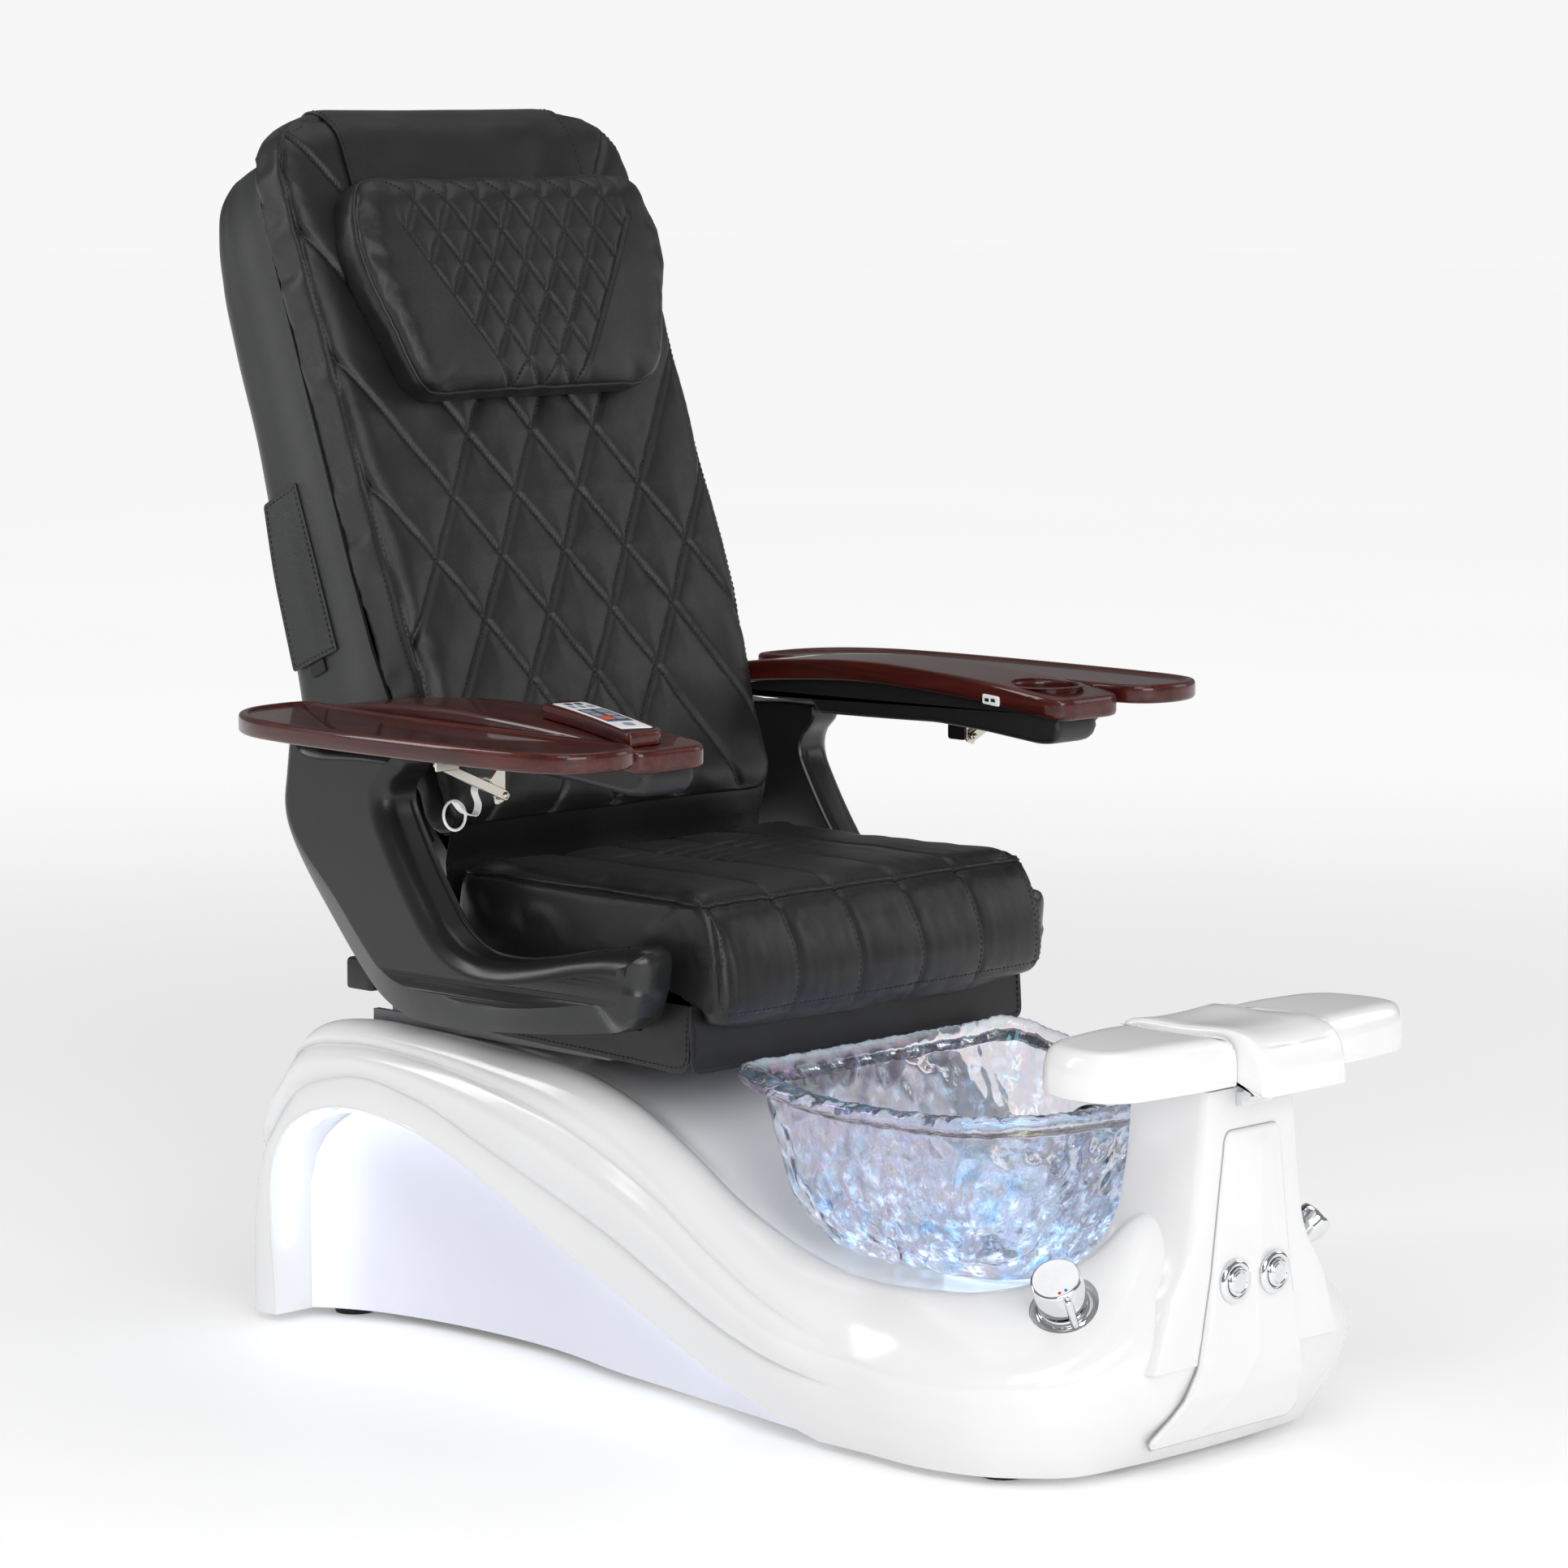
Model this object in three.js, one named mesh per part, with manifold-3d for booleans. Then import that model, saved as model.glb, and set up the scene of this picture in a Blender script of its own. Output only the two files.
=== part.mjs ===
// Pedicure spa chair: a moulded base with a glass foot bowl, and a sliding, reclining massage chair on it.
// Millimetres, +Z up, +X to the sitter's left, the chair faces -Y. The origin is on the floor, under the
// middle of the overall box. Design coordinates put y = 0 near the middle of the seat, so the whole chair
// sits in one group moved by DATUM_SHIFT.
import * as THREE from 'three';
import { mergeVertices } from 'three/addons/utils/BufferGeometryUtils.js';
import Module from 'manifold-3d';

const wasm = await Module();
wasm.setup();

// ---- driving dimensions ----
const DATUM_SHIFT = 118;        // design y = 0 to the middle of the overall length
const GAP = 0.4;                // clearance between pieces that touch on the real chair
const SHELL_WALL = 13;          // moulded base laminate with its core
const SHELL_FLOOR = 10;         // lower edge of the base above the floor
const SEAT_HALF = 256;          // half width of the seat cushion
const SEAT_TOP = 548;
const RECLINE = THREE.MathUtils.degToRad(20);   // lean of the backrest at rest
const BACK_PIVOT = { y: 230, z: 470 };
const ARM_INNER = 268;          // inner face of an armrest from the middle plane
const ARM_OUTER = 373;
const PANEL_INNER = 292;        // side panel, inner and outer faces
const PANEL_OUTER = 346;
const TRAY_TOP = 722;
const TRAY_THICK = 21;
const BOWL_CENTRE_Y = -412;
const BOWL_WALL = 9;
const RAIL_X = 200;             // slide rails, each side of the middle plane
const POST_FRONT_Y = -728;
const BUTTON_X = 31;
const BUTTON_Z = 197;
const FOOTREST_PIVOT = { y: -741, z: 383 };
const PAN_LOW = 404;            // seat pan, lower and upper faces
const PAN_HIGH = 432;
const ROUND = 24;               // segments round a turned piece

const MATERIALS = {
  white: { color: 0xf4f4f5, roughness: 0.18, metalness: 0 },
  glow: { color: 0xe9f1ff, roughness: 0.4, metalness: 0 },
  vinyl: { color: 0x232425, roughness: 0.5, metalness: 0 },
  moulding: { color: 0x2d2f30, roughness: 0.42, metalness: 0.1 },
  wood: { color: 0x3c120d, roughness: 0.12, metalness: 0 },
  glass: { color: 0xbfdcec, roughness: 0.05, metalness: 0 },
  chrome: { color: 0xd9dadc, roughness: 0.06, metalness: 1 },
  steel: { color: 0x8f9093, roughness: 0.4, metalness: 0.9 },
  rubber: { color: 0x161616, roughness: 0.8, metalness: 0 },
};

const chair = new THREE.Group();
chair.position.y = DATUM_SHIFT;

function add(name, geometry, look, parent = chair) {
  const piece = new THREE.Mesh(geometry, new THREE.MeshStandardMaterial(MATERIALS[look]));
  piece.name = name;
  parent.add(piece);
  return piece;
}

// ---- geometry helpers ----
function positionsOnly(geometry) {
  const plain = geometry.index ? geometry.toNonIndexed() : geometry.clone();
  for (const key of Object.keys(plain.attributes)) {
    if (key !== 'position') plain.deleteAttribute(key);
  }
  return plain;
}

// Welds a triangle soup, drops triangles without area and turns all faces outwards.
function weld(geometry) {
  const merged = mergeVertices(positionsOnly(geometry), 1e-3);
  const p = merged.attributes.position;
  const index = [];
  let volume = 0;
  const [a, b, c] = [new THREE.Vector3(), new THREE.Vector3(), new THREE.Vector3()];
  for (let i = 0; i < merged.index.count; i += 3) {
    const [i0, i1, i2] = [0, 1, 2].map((k) => merged.index.getX(i + k));
    if (i0 === i1 || i1 === i2 || i2 === i0) continue;
    index.push(i0, i1, i2);
    a.fromBufferAttribute(p, i0);
    b.fromBufferAttribute(p, i1);
    c.fromBufferAttribute(p, i2);
    volume += a.dot(b.cross(c));
  }
  if (volume < 0) index.reverse();
  merged.setIndex(index);
  return merged;
}

function solid(geometry) {
  const g = weld(geometry);
  return new wasm.Manifold(new wasm.Mesh({
    numProp: 3,
    vertProperties: new Float32Array(g.attributes.position.array),
    triVerts: new Uint32Array(g.index.array),
  }));
}

function shape(manifold) {
  const m = manifold.getMesh();
  const g = new THREE.BufferGeometry();
  g.setAttribute('position', new THREE.BufferAttribute(new Float32Array(m.vertProperties), 3));
  g.setIndex(new THREE.BufferAttribute(new Uint32Array(m.triVerts), 1));
  return g;
}

const join = (...parts) => shape(parts.map(solid).reduce((all, next) => all.add(next)));
const cut = (body, ...tools) => shape(
  tools.map(solid).reduce((rest, tool) => rest.subtract(tool), solid(body)));
const common = (one, two) => shape(solid(one).intersect(solid(two)));

function outline(points) {
  return new THREE.Shape(points.map(([u, v]) => new THREE.Vector2(u, v)));
}

// A smooth open line through the given points.
function smoothLine(points, steps) {
  const through = points.map(([u, v]) => new THREE.Vector3(u, v, 0));
  const curve = new THREE.CatmullRomCurve3(through, false, 'centripetal');
  return curve.getPoints(steps).map((p) => [p.x, p.y]);
}

// Turns an extrusion so that its outline lies in (y, z) and its depth runs along +X from x0.
function standSideways(geometry, x0) {
  return geometry.applyMatrix4(new THREE.Matrix4().set(0, 0, 1, x0, 1, 0, 0, 0, 0, 1, 0, 0, 0, 0, 0, 1));
}

// A plate whose outline is given in (y, z), between two x planes.
function sidePlate(points, x0, x1) {
  const g = new THREE.ExtrudeGeometry(outline(points), { depth: x1 - x0, bevelEnabled: false });
  return standSideways(g, x0);
}

// A plate whose outline is given in (x, y), between two heights.
function planPlate(points, z0, z1) {
  const g = new THREE.ExtrudeGeometry(outline(points), { depth: z1 - z0, bevelEnabled: false });
  return g.translate(0, 0, z0);
}

// A plate whose outline is given in (x, z), between two y planes.
function frontPlate(points, y0, y1) {
  const g = new THREE.ExtrudeGeometry(outline(points), { depth: y1 - y0, bevelEnabled: false });
  return g.rotateX(Math.PI / 2).translate(0, y1, 0);
}

function box(x0, x1, y0, y1, z0, z1) {
  const g = new THREE.BoxGeometry(x1 - x0, y1 - y0, z1 - z0);
  return g.translate((x0 + x1) / 2, (y0 + y1) / 2, (z0 + z1) / 2);
}

// A round bar between two points.
function bar(from, to, radius, sides = 12) {
  const a = new THREE.Vector3(...from);
  const b = new THREE.Vector3(...to);
  const g = new THREE.CylinderGeometry(radius, radius, a.distanceTo(b), sides);
  const way = b.clone().sub(a).normalize();
  const turn = new THREE.Quaternion().setFromUnitVectors(new THREE.Vector3(0, 1, 0), way);
  return g.applyQuaternion(turn).translate(...a.add(b).multiplyScalar(0.5).toArray());
}

// A turned piece: profile of (radius, height) pairs, standing on a point and pointing along a direction.
function turned(profile, at, along, sides = ROUND) {
  const g = new THREE.LatheGeometry(profile.map(([r, h]) => new THREE.Vector2(r, h)), sides);
  const turn = new THREE.Quaternion().setFromUnitVectors(
    new THREE.Vector3(0, 1, 0), new THREE.Vector3(...along).normalize());
  return g.applyQuaternion(turn).translate(...at);
}

// Skins a stack of closed loops of equal count and caps both ends with fans.
function loft(loops) {
  const at = [];
  const tri = (a, b, c) => at.push(...a, ...b, ...c);
  const count = loops[0].length;
  for (let k = 0; k + 1 < loops.length; k += 1) {
    for (let i = 0; i < count; i += 1) {
      const j = (i + 1) % count;
      tri(loops[k][i], loops[k][j], loops[k + 1][j]);
      tri(loops[k][i], loops[k + 1][j], loops[k + 1][i]);
    }
  }
  const centre = (loop) => [0, 1, 2].map((n) => loop.reduce((sum, p) => sum + p[n], 0) / count);
  const [low, high] = [loops[0], loops[loops.length - 1]];
  for (let i = 0; i < count; i += 1) {
    const j = (i + 1) % count;
    tri(low[j], low[i], centre(low));
    tri(high[i], high[j], centre(high));
  }
  const g = new THREE.BufferGeometry();
  g.setAttribute('position', new THREE.Float32BufferAttribute(at, 3));
  return weld(g);
}

const mirrorX = (points) => points.map(([x, ...rest]) => [-x, ...rest]);

// The same outline for the other side of the chair, walked the other way round.
const onSide = (side, points) => (side > 0 ? points : mirrorX(points).reverse());
const spanX = (side, x0, x1) => (side > 0 ? [x0, x1] : [-x1, -x0]);

// ---- mixer tap and hand shower: where they stand on the deck and which way they point ----
const MIXER = { at: [-172, -636, 173], along: [-0.6, -0.26, 0.76], leverTurn: 2.62 };
const SHOWER = { at: [236, -570, 150], along: [0.66, -0.3, 0.69] };

// ---- base shell ----
// Half sections round the base, from the middle of the back to the middle of the front. Each holds, from
// the floor edge up and in: floor edge, low flank, flank, outer lip, crest, inner edge and middle line,
// as (half width, y, z).
const REAR_MIDDLE = [0, 300, 356];
const SECTIONS = [
  [[0, 521, SHELL_FLOOR], [0, 515, 90], [0, 500, 190], [0, 462, 280],
    [0, 405, 328], [0, 350, 352], REAR_MIDDLE],
  [[120, 521, SHELL_FLOOR], [120, 515, 90], [120, 500, 190], [120, 462, 280],
    [118, 405, 328], [100, 350, 352], REAR_MIDDLE],
  [[218, 520, SHELL_FLOOR], [218, 514, 90], [218, 499, 190], [216, 460, 280],
    [207, 403, 328], [168, 348, 352], REAR_MIDDLE],
  [[242, 506, SHELL_FLOOR], [245, 498, 90], [246, 478, 200], [243, 440, 283],
    [231, 392, 331], [186, 340, 352], [0, 282, 356]],
  [[243, 450, SHELL_FLOOR], [248, 446, 100], [251, 430, 262], [250, 408, 318],
    [231, 367, 346], [190, 330, 353], [0, 262, 356]],
  [[242, 340, SHELL_FLOOR], [248, 340, 110], [252, 340, 297], [251, 335, 334],
    [231, 320, 354], [190, 310, 356], [0, 240, 356]],
  [[242, 230, SHELL_FLOOR], [248, 230, 110], [252, 230, 287], [252, 230, 333],
    [231, 230, 353], [190, 230, 356], [0, 200, 356]],
  [[243, 110, SHELL_FLOOR], [248, 110, 100], [252, 110, 246], [253, 110, 317],
    [231, 110, 347], [190, 110, 350], [0, 110, 350]],
  [[243, 10, SHELL_FLOOR], [249, 10, 95], [253, 10, 211], [255, 10, 293],
    [232, 10, 339], [190, 0, 340], [0, 20, 340]],
  [[243, -80, SHELL_FLOOR], [251, -80, 85], [257, -80, 180], [259, -80, 262],
    [233, -80, 315], [185, -75, 312], [0, -55, 312]],
  [[244, -160, SHELL_FLOOR], [254, -160, 72], [263, -160, 148], [267, -160, 231],
    [235, -160, 280], [178, -150, 258], [0, -115, 246]],
  [[245, -240, SHELL_FLOOR], [258, -240, 58], [271, -240, 118], [275, -240, 190],
    [234, -240, 232], [168, -235, 196], [0, -185, 180]],
  [[246, -330, SHELL_FLOOR], [264, -330, 48], [279, -330, 95], [284, -330, 152],
    [231, -330, 193], [172, -330, 168], [0, -280, 157]],
  [[249, -430, SHELL_FLOOR], [270, -430, 42], [286, -430, 82], [289, -430, 125],
    [234, -420, 180], [176, -410, 165], [0, -370, 155]],
  [[254, -520, SHELL_FLOOR], [274, -520, 42], [290, -522, 78], [292, -522, 115],
    [226, -500, 180], [168, -480, 166], [0, -440, 155]],
  [[237, -590, SHELL_FLOOR], [258, -598, 42], [274, -604, 78], [277, -605, 114],
    [202, -545, 181], [140, -530, 168], [0, -500, 155]],
  [[211, -626, SHELL_FLOOR], [230, -640, 42], [245, -652, 80], [247, -654, 119],
    [168, -580, 190], [108, -560, 172], [0, -530, 157]],
  [[181, -652, SHELL_FLOOR], [196, -668, 42], [206, -684, 82], [203, -690, 129],
    [130, -622, 216], [78, -580, 184], [0, -552, 162]],
  [[97, -665, SHELL_FLOOR], [110, -690, 42], [118, -713, 85], [112, -722, 160],
    [88, -660, 262], [50, -600, 205], [0, -580, 190]],
  [[0, -669, SHELL_FLOOR], [0, -695, 42], [0, -721, 85], [0, -727, 160],
    [0, -700, 270], [0, -620, 230], [0, -590, 200]],
];

// Closes a set of half sections with their mirror images and a flat bottom.
function hull(sections) {
  const at = [];
  const tri = (a, b, c) => at.push(...a, ...b, ...c);
  for (let i = 0; i + 1 < sections.length; i += 1) {
    const [one, two] = [sections[i], sections[i + 1]];
    for (let k = 0; k + 1 < one.length; k += 1) {
      const [a, b, c, d] = [one[k], two[k], two[k + 1], one[k + 1]];
      tri(a, b, c);
      tri(a, c, d);
      const [am, bm, cm, dm] = mirrorX([a, b, c, d]);
      tri(am, cm, bm);
      tri(am, dm, cm);
    }
    const [a, b] = [one[0], two[0]];
    const [am, bm] = mirrorX([a, b]);
    tri(a, am, bm);
    tri(a, bm, b);
  }
  const g = new THREE.BufferGeometry();
  g.setAttribute('position', new THREE.Float32BufferAttribute(at, 3));
  return g;
}

// The hollow under the shell: each section moved in by the wall and opened through the floor.
function hollowed(sections, wall) {
  const [rearEnd, frontEnd, belowFloor] = [380, -570, -5];
  const [outerLip, innerEdge] = [3, 5];
  return sections.map((section) => section.map(([w, y, z], k) => {
    const endShift = y > rearEnd ? -wall : y < frontEnd ? wall : 0;
    const drop = k > outerLip ? wall + 1 : wall * 0.5;
    return [Math.max(w - wall, 0), y + endShift * (k < innerEdge ? 1 : 0.4), k === 0 ? belowFloor : z - drop];
  }));
}

// The front post that carries the footrest: half widths at rising heights.
const POST_LEVELS = [[130, 118], [116, 158], [99, 204], [84, 262], [78, 302], [72, 350], [69, 390]];
const POST_REAR_Y = -628;
const POST_CORNER = 14;

// The post, or with an inset the hollow in it, which starts a level higher, inside the shell.
function post(inset) {
  const c = POST_CORNER - inset * 0.4;
  const [front, rear] = [POST_FRONT_Y + inset, POST_REAR_Y - inset];
  return loft(POST_LEVELS.slice(inset > 0 ? 1 : 0).map(([half, z]) => {
    const w = half - inset;
    const right = [[w - c * 0.6, front], [w, front + c], [w, rear]];
    return [...mirrorX(right).reverse(), ...right].map(([x, y]) => [x, y, z - inset]);
  }));
}

// Side recesses: the lit panel stands back from the swept band, behind an edge of this outline (y, z).
const RECESS_EDGE = smoothLine([
  [468, 10], [466, 100], [462, 176], [444, 218], [412, 243], [372, 258], [324, 263], [270, 259], [220, 250],
  [161, 230], [101, 205], [20, 167], [-93, 121], [-204, 73], [-300, 35], [-370, 10],
], 34);
// Plan of the lit panel's face: half width at each y.
const RECESS_PLAN = smoothLine([
  [214, 489], [186, 453], [165, 408], [152, 350], [145, 280], [144, 210], [150, 130], [163, 60], [178, 0],
  [198, -120], [217, -235], [234, -340], [240, -400],
], 18);

const RECESS_TOP = 300;
const RECESS_BACK = 6;          // the recess is cut this far behind the lit panel's face

// Everything outside the lit panel's plan and under the swept band's edge, offset inwards by the margin.
function recessSolid(side, back, margin) {
  const [below, reach] = [-40, 330];
  const plan = [...RECESS_PLAN.map(([w, y]) => [w - back, y]), [reach, -400], [reach, 489]];
  const edge = [...RECESS_EDGE.map(([y, z]) => [y, z + margin]), [-370, below], [468 + margin, below]];
  const slab = sidePlate(edge, ...spanX(side, 90, reach));
  return common(planPlate(onSide(side, plan), below + 10, RECESS_TOP), slab);
}

function buildBase() {
  const outer = join(hull(SECTIONS), post(0));
  const inner = join(hull(hollowed(SECTIONS, SHELL_WALL)), post(SHELL_WALL));
  const spotFace = ({ at, along }, radius) => {
    const profile = [[0, -GAP], [radius, -GAP], [radius, 60], [0, 60]];
    return turned(profile, at, along);
  };
  const walls = cut(outer, recessSolid(1, RECESS_BACK, 0), recessSolid(-1, RECESS_BACK, 0),
    spotFace(MIXER, 34), spotFace(SHOWER, 27));
  const cavity = cut(inner, recessSolid(1, RECESS_BACK + SHELL_WALL, SHELL_WALL),
    recessSolid(-1, RECESS_BACK + SHELL_WALL, SHELL_WALL));
  add('base_shell', cut(walls, cavity), 'white');
  for (const side of [1, -1]) buildSideLight(side, side > 0 ? 'left' : 'right');
}

// The lit panel in one recess, and the LED strip that follows the edge above it.
function buildSideLight(side, tag) {
  const sheetThick = 4;
  const clear = 3;
  const rearCorner = 440;       // behind this y the recess edge runs nearly upright
  const face = RECESS_PLAN.map(([w, y]) => [w - GAP, y]);
  const rearFace = RECESS_PLAN.map(([w, y]) => [w - GAP - sheetThick, y]).reverse();
  const edge = RECESS_EDGE.map(([y, z]) => (y > rearCorner ? [y - clear, z] : [y, z - clear]));
  add(`side_light_panel_${tag}`, common(
    planPlate(onSide(side, [...face, ...rearFace]), SHELL_FLOOR + 2, 270),
    sidePlate([...edge, [-370, -20], [465, -20]], ...spanX(side, 100, 300))), 'glow');

  const [rearX, frontX] = [228, 244];
  const route = RECESS_EDGE.filter((p, k) => k % 3 === 1).map(([y, z]) => {
    const [back, down] = y > rearCorner - 10 ? [5, 2] : [0, 6];
    return new THREE.Vector3(side * (y < -150 ? frontX : rearX), y - back, z - down);
  });
  const inside = new THREE.CatmullRomCurve3(route).getPoints(30).slice(1, 27);
  add(`led_strip_${tag}`, new THREE.ExtrudeGeometry(outline([[-2, -2], [2, -2], [2, 2], [-2, 2]]), {
    steps: 24, extrudePath: new THREE.CatmullRomCurve3(inside), bevelEnabled: false,
  }), 'glow');
}

// ---- front panel with its two push buttons ----
function buildFront() {
  const face = POST_FRONT_Y - GAP;
  const proud = 5;
  const half = [[108, 35], [113, 42], [98, 66], [78, 118], [60, 205], [47, 300], [43, 338], [38, 347]];
  const shield = [...half, ...mirrorX(half).reverse()];
  const band = [[-689, 30], [face + 6, 84], [face, 112], [face, 350],
    [face - proud, 350], [face - proud, 110], [face - proud + 1, 82], [-696, 30]];
  add('access_panel', common(frontPlate(shield, -760, -660), sidePlate(band, -130, 130)), 'white');

  const front = face - proud - GAP;
  for (const [x, tag] of [[-BUTTON_X, 'jet'], [BUTTON_X, 'drain']]) {
    add(`${tag}_button_bezel`, turned([[15, 0], [22, 0], [22, 2.5], [19, 5.5], [15, 5.5], [15, 0]],
      [x, front, BUTTON_Z], [0, -1, 0], 20), 'chrome');
    add(`${tag}_button`, turned([[0, 2.8], [14.3, 2.8], [14.3, 7], [12.5, 8.2], [0, 8.2]],
      [x, front, BUTTON_Z], [0, -1, 0], 20), 'chrome');
  }
}

// ---- glass foot bowl ----
// Levels of the outer wall: height, half width, distance to the back and to the front from the centre.
const BOWL_LEVELS = [[169, 112, 112, 92], [178, 140, 132, 108], [200, 165, 150, 122], [240, 188, 168, 142],
  [290, 200, 180, 168], [326, 207, 188, 186]];
const BOWL_POWER = 3;
const BOWL_STEPS = 32;

// One loop of the bowl; rise lifts its back corners and dips its flanks like the wavy rim.
function bowlLoop(z, half, back, front, rise) {
  return Array.from({ length: BOWL_STEPS }, (_, i) => {
    const t = (2 * Math.PI * i) / BOWL_STEPS;
    const [c, s] = [Math.cos(t), Math.sin(t)];
    const x = half * Math.sign(c) * Math.abs(c) ** (2 / BOWL_POWER);
    const y = (s > 0 ? back : front) * Math.sign(s) * Math.abs(s) ** (2 / BOWL_POWER);
    const lift = rise * (s > 0 ? s ** 1.5 : 0.15 * Math.abs(s));
    return [x, BOWL_CENTRE_Y + y, z + lift];
  });
}

function buildBowl() {
  const outside = BOWL_LEVELS.map(([z, ...reach]) => bowlLoop(z, ...reach, 0));
  const rimOuter = [bowlLoop(334, 224, 200, 198, 34), bowlLoop(343, 226, 202, 200, 35)];
  const rimTop = bowlLoop(346, 214, 190, 188, 36);
  const inward = ([z, ...reach]) => bowlLoop(z + 3, ...reach.map((r) => r - BOWL_WALL), 0);
  const inside = BOWL_LEVELS.slice(1).reverse().map(inward);
  const body = loft([...outside, ...rimOuter, rimTop, bowlLoop(338, 198, 179, 177, 32), ...inside]);
  const drain = bar([0, BOWL_CENTRE_Y, 150], [0, BOWL_CENTRE_Y, 200], 18, 20);
  add('foot_bowl', cut(body, drain), 'glass');
  const strainer = [[0, 0], [17.5, 0], [17.5, 11.6], [24, 11.6], [24, 14], [18, 15.5], [0, 15.5]];
  add('drain_strainer', turned(strainer, [0, BOWL_CENTRE_Y, 170], [0, 0, 1]), 'chrome');
  add('bowl_light_ring', turned([[54, 0], [70, 0], [70, 6], [54, 6], [54, 0]],
    [0, BOWL_CENTRE_Y, 162.5], [0, 0, 1]), 'glow');

  const jet = [166, BOWL_CENTRE_Y + 20, 262];
  add('jet_housing', turned([[0, 0], [40, 0], [44, 4], [44, 16], [40, 20], [32, 20], [32, 8], [0, 8]],
    jet, [-1, 0, 0]), 'chrome');
  const bladeCount = 6;
  const blades = Array.from({ length: bladeCount },
    (_, k) => box(8, 28, -1.5, 1.5, 11, 18).rotateZ((2 * Math.PI * k) / bladeCount));
  const rotor = join(turned([[0, 9], [10, 9], [10, 19], [0, 19]], [0, 0, 0], [0, 0, 1]), ...blades);
  add('jet_impeller', rotor.rotateY(-Math.PI / 2).translate(...jet), 'white');
}

// ---- taps ----
function buildTaps() {
  add('mixer_escutcheon', turned([[0, 0], [33, 0], [33, 4], [29, 9], [25, 9], [25, 14], [0, 14]],
    MIXER.at, MIXER.along), 'chrome');
  add('mixer_cartridge', turned([[0, 14.4], [14, 14.4], [14, 32], [0, 32]], MIXER.at, MIXER.along), 'steel');
  const cap = [[22, 20], [26, 20], [26, 52], [24, 54], [0, 54], [0, 42], [22, 42], [22, 20]];
  const head = turned(cap, [0, 0, 0], [0, 0, 1]);
  const lever = join(head, bar([0, 24, 50], [0, 33, 50], 4), bar([0, 33, 53], [0, 33, 12], 4.2));
  const turn = new THREE.Quaternion().setFromUnitVectors(
    new THREE.Vector3(0, 0, 1), new THREE.Vector3(...MIXER.along).normalize());
  const swing = new THREE.Quaternion().setFromAxisAngle(new THREE.Vector3(0, 0, 1), MIXER.leverTurn);
  add('mixer_handle', lever.applyQuaternion(swing).applyQuaternion(turn).translate(...MIXER.at), 'chrome');

  const holder = [[0, 0], [26, 0], [26, 5], [20, 9], [0, 9]];
  add('shower_holder', turned(holder, SHOWER.at, SHOWER.along), 'chrome');
  add('hand_shower', turned([[0, 9.4], [14, 9.4], [14, 40], [19, 52], [19, 66], [16, 70], [0, 70]],
    SHOWER.at, SHOWER.along), 'chrome');
}

// ---- hidden structure inside the base ----
const FOOT_Y = { front: -570, rear: 455 };

function buildStructure() {
  const beamLow = 28;
  const beamHigh = 58;
  const tube = 30;              // square tube of the welded frame
  const cross = (half, y) => box(-half, half, y - tube / 2, y + tube / 2, beamLow, beamHigh);
  const along = [55, -85].map((x) => box(x, x + tube, FOOT_Y.front - 15, FOOT_Y.rear + 15, beamLow, beamHigh));
  const beams = [...along, cross(205, FOOT_Y.front), cross(158, FOOT_Y.rear), cross(86, 100), cross(86, -245)];
  const legs = [[325, 334], [100, 332]].flatMap(([y, top]) => [
    ...[55, -85].map((x) => box(x, x + tube, y - tube / 2, y + tube / 2, beamLow, top)),
    box(-86, 86, y - tube / 2, y + tube / 2, top - tube, top)]);
  add('base_frame', join(...beams, ...legs), 'steel');

  const stud = 7;
  const foot = [[0, 0], [22, 0], [24, 4], [22, 9], [stud, 12], [stud, beamLow - GAP], [0, beamLow - GAP]];
  for (const [end, x] of [['front', 190], ['rear', 138]]) {
    for (const [side, tag] of [[1, 'left'], [-1, 'right']]) {
      add(`levelling_foot_${end}_${tag}`, turned(foot, [side * x, FOOT_Y[end], 0], [0, 0, 1], 16), 'rubber');
    }
  }
  add('control_box', box(-50, 50, 180, 330, 60, 150), 'moulding');
  const pumpZ = 96;
  const motor = bar([0, -160, pumpZ], [0, -60, pumpZ], 34, 20);
  const volute = bar([0, -190, pumpZ], [0, -160, pumpZ], 22, 16);
  const outlet = bar([0, -178, pumpZ], [0, -178, pumpZ + 40], 10);
  add('drain_pump', join(motor, volute, outlet, box(-30, 30, -150, -70, 61, 80)), 'moulding');

  for (const [side, tag] of [[1, 'left'], [-1, 'right']]) {
    const [x0, x1] = spanX(side, RAIL_X - 18, RAIL_X + 18);
    const rail = cut(box(x0, x1, -40, 330, 357, 370), box(x0 + 8, x1 - 8, -50, 340, 363, 380));
    add(`slide_rail_${tag}`, rail, 'steel');
  }
  const rodZ = 376;
  const barrel = [[0, 0], [15, 0], [15, 190], [8.6, 190], [8.6, 20], [0, 20]];
  const cradle = box(-40, 40, -25, 15, 357, 368);
  add('slide_actuator', join(turned(barrel, [0, -30, rodZ], [0, 1, 0]), cradle), 'moulding');
  const rodLug = box(-12, 12, 185, 205, rodZ - 10, PAN_LOW - GAP);
  add('slide_rod', join(bar([0, 0, rodZ], [0, 200, rodZ], 8), rodLug), 'steel');
}

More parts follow.
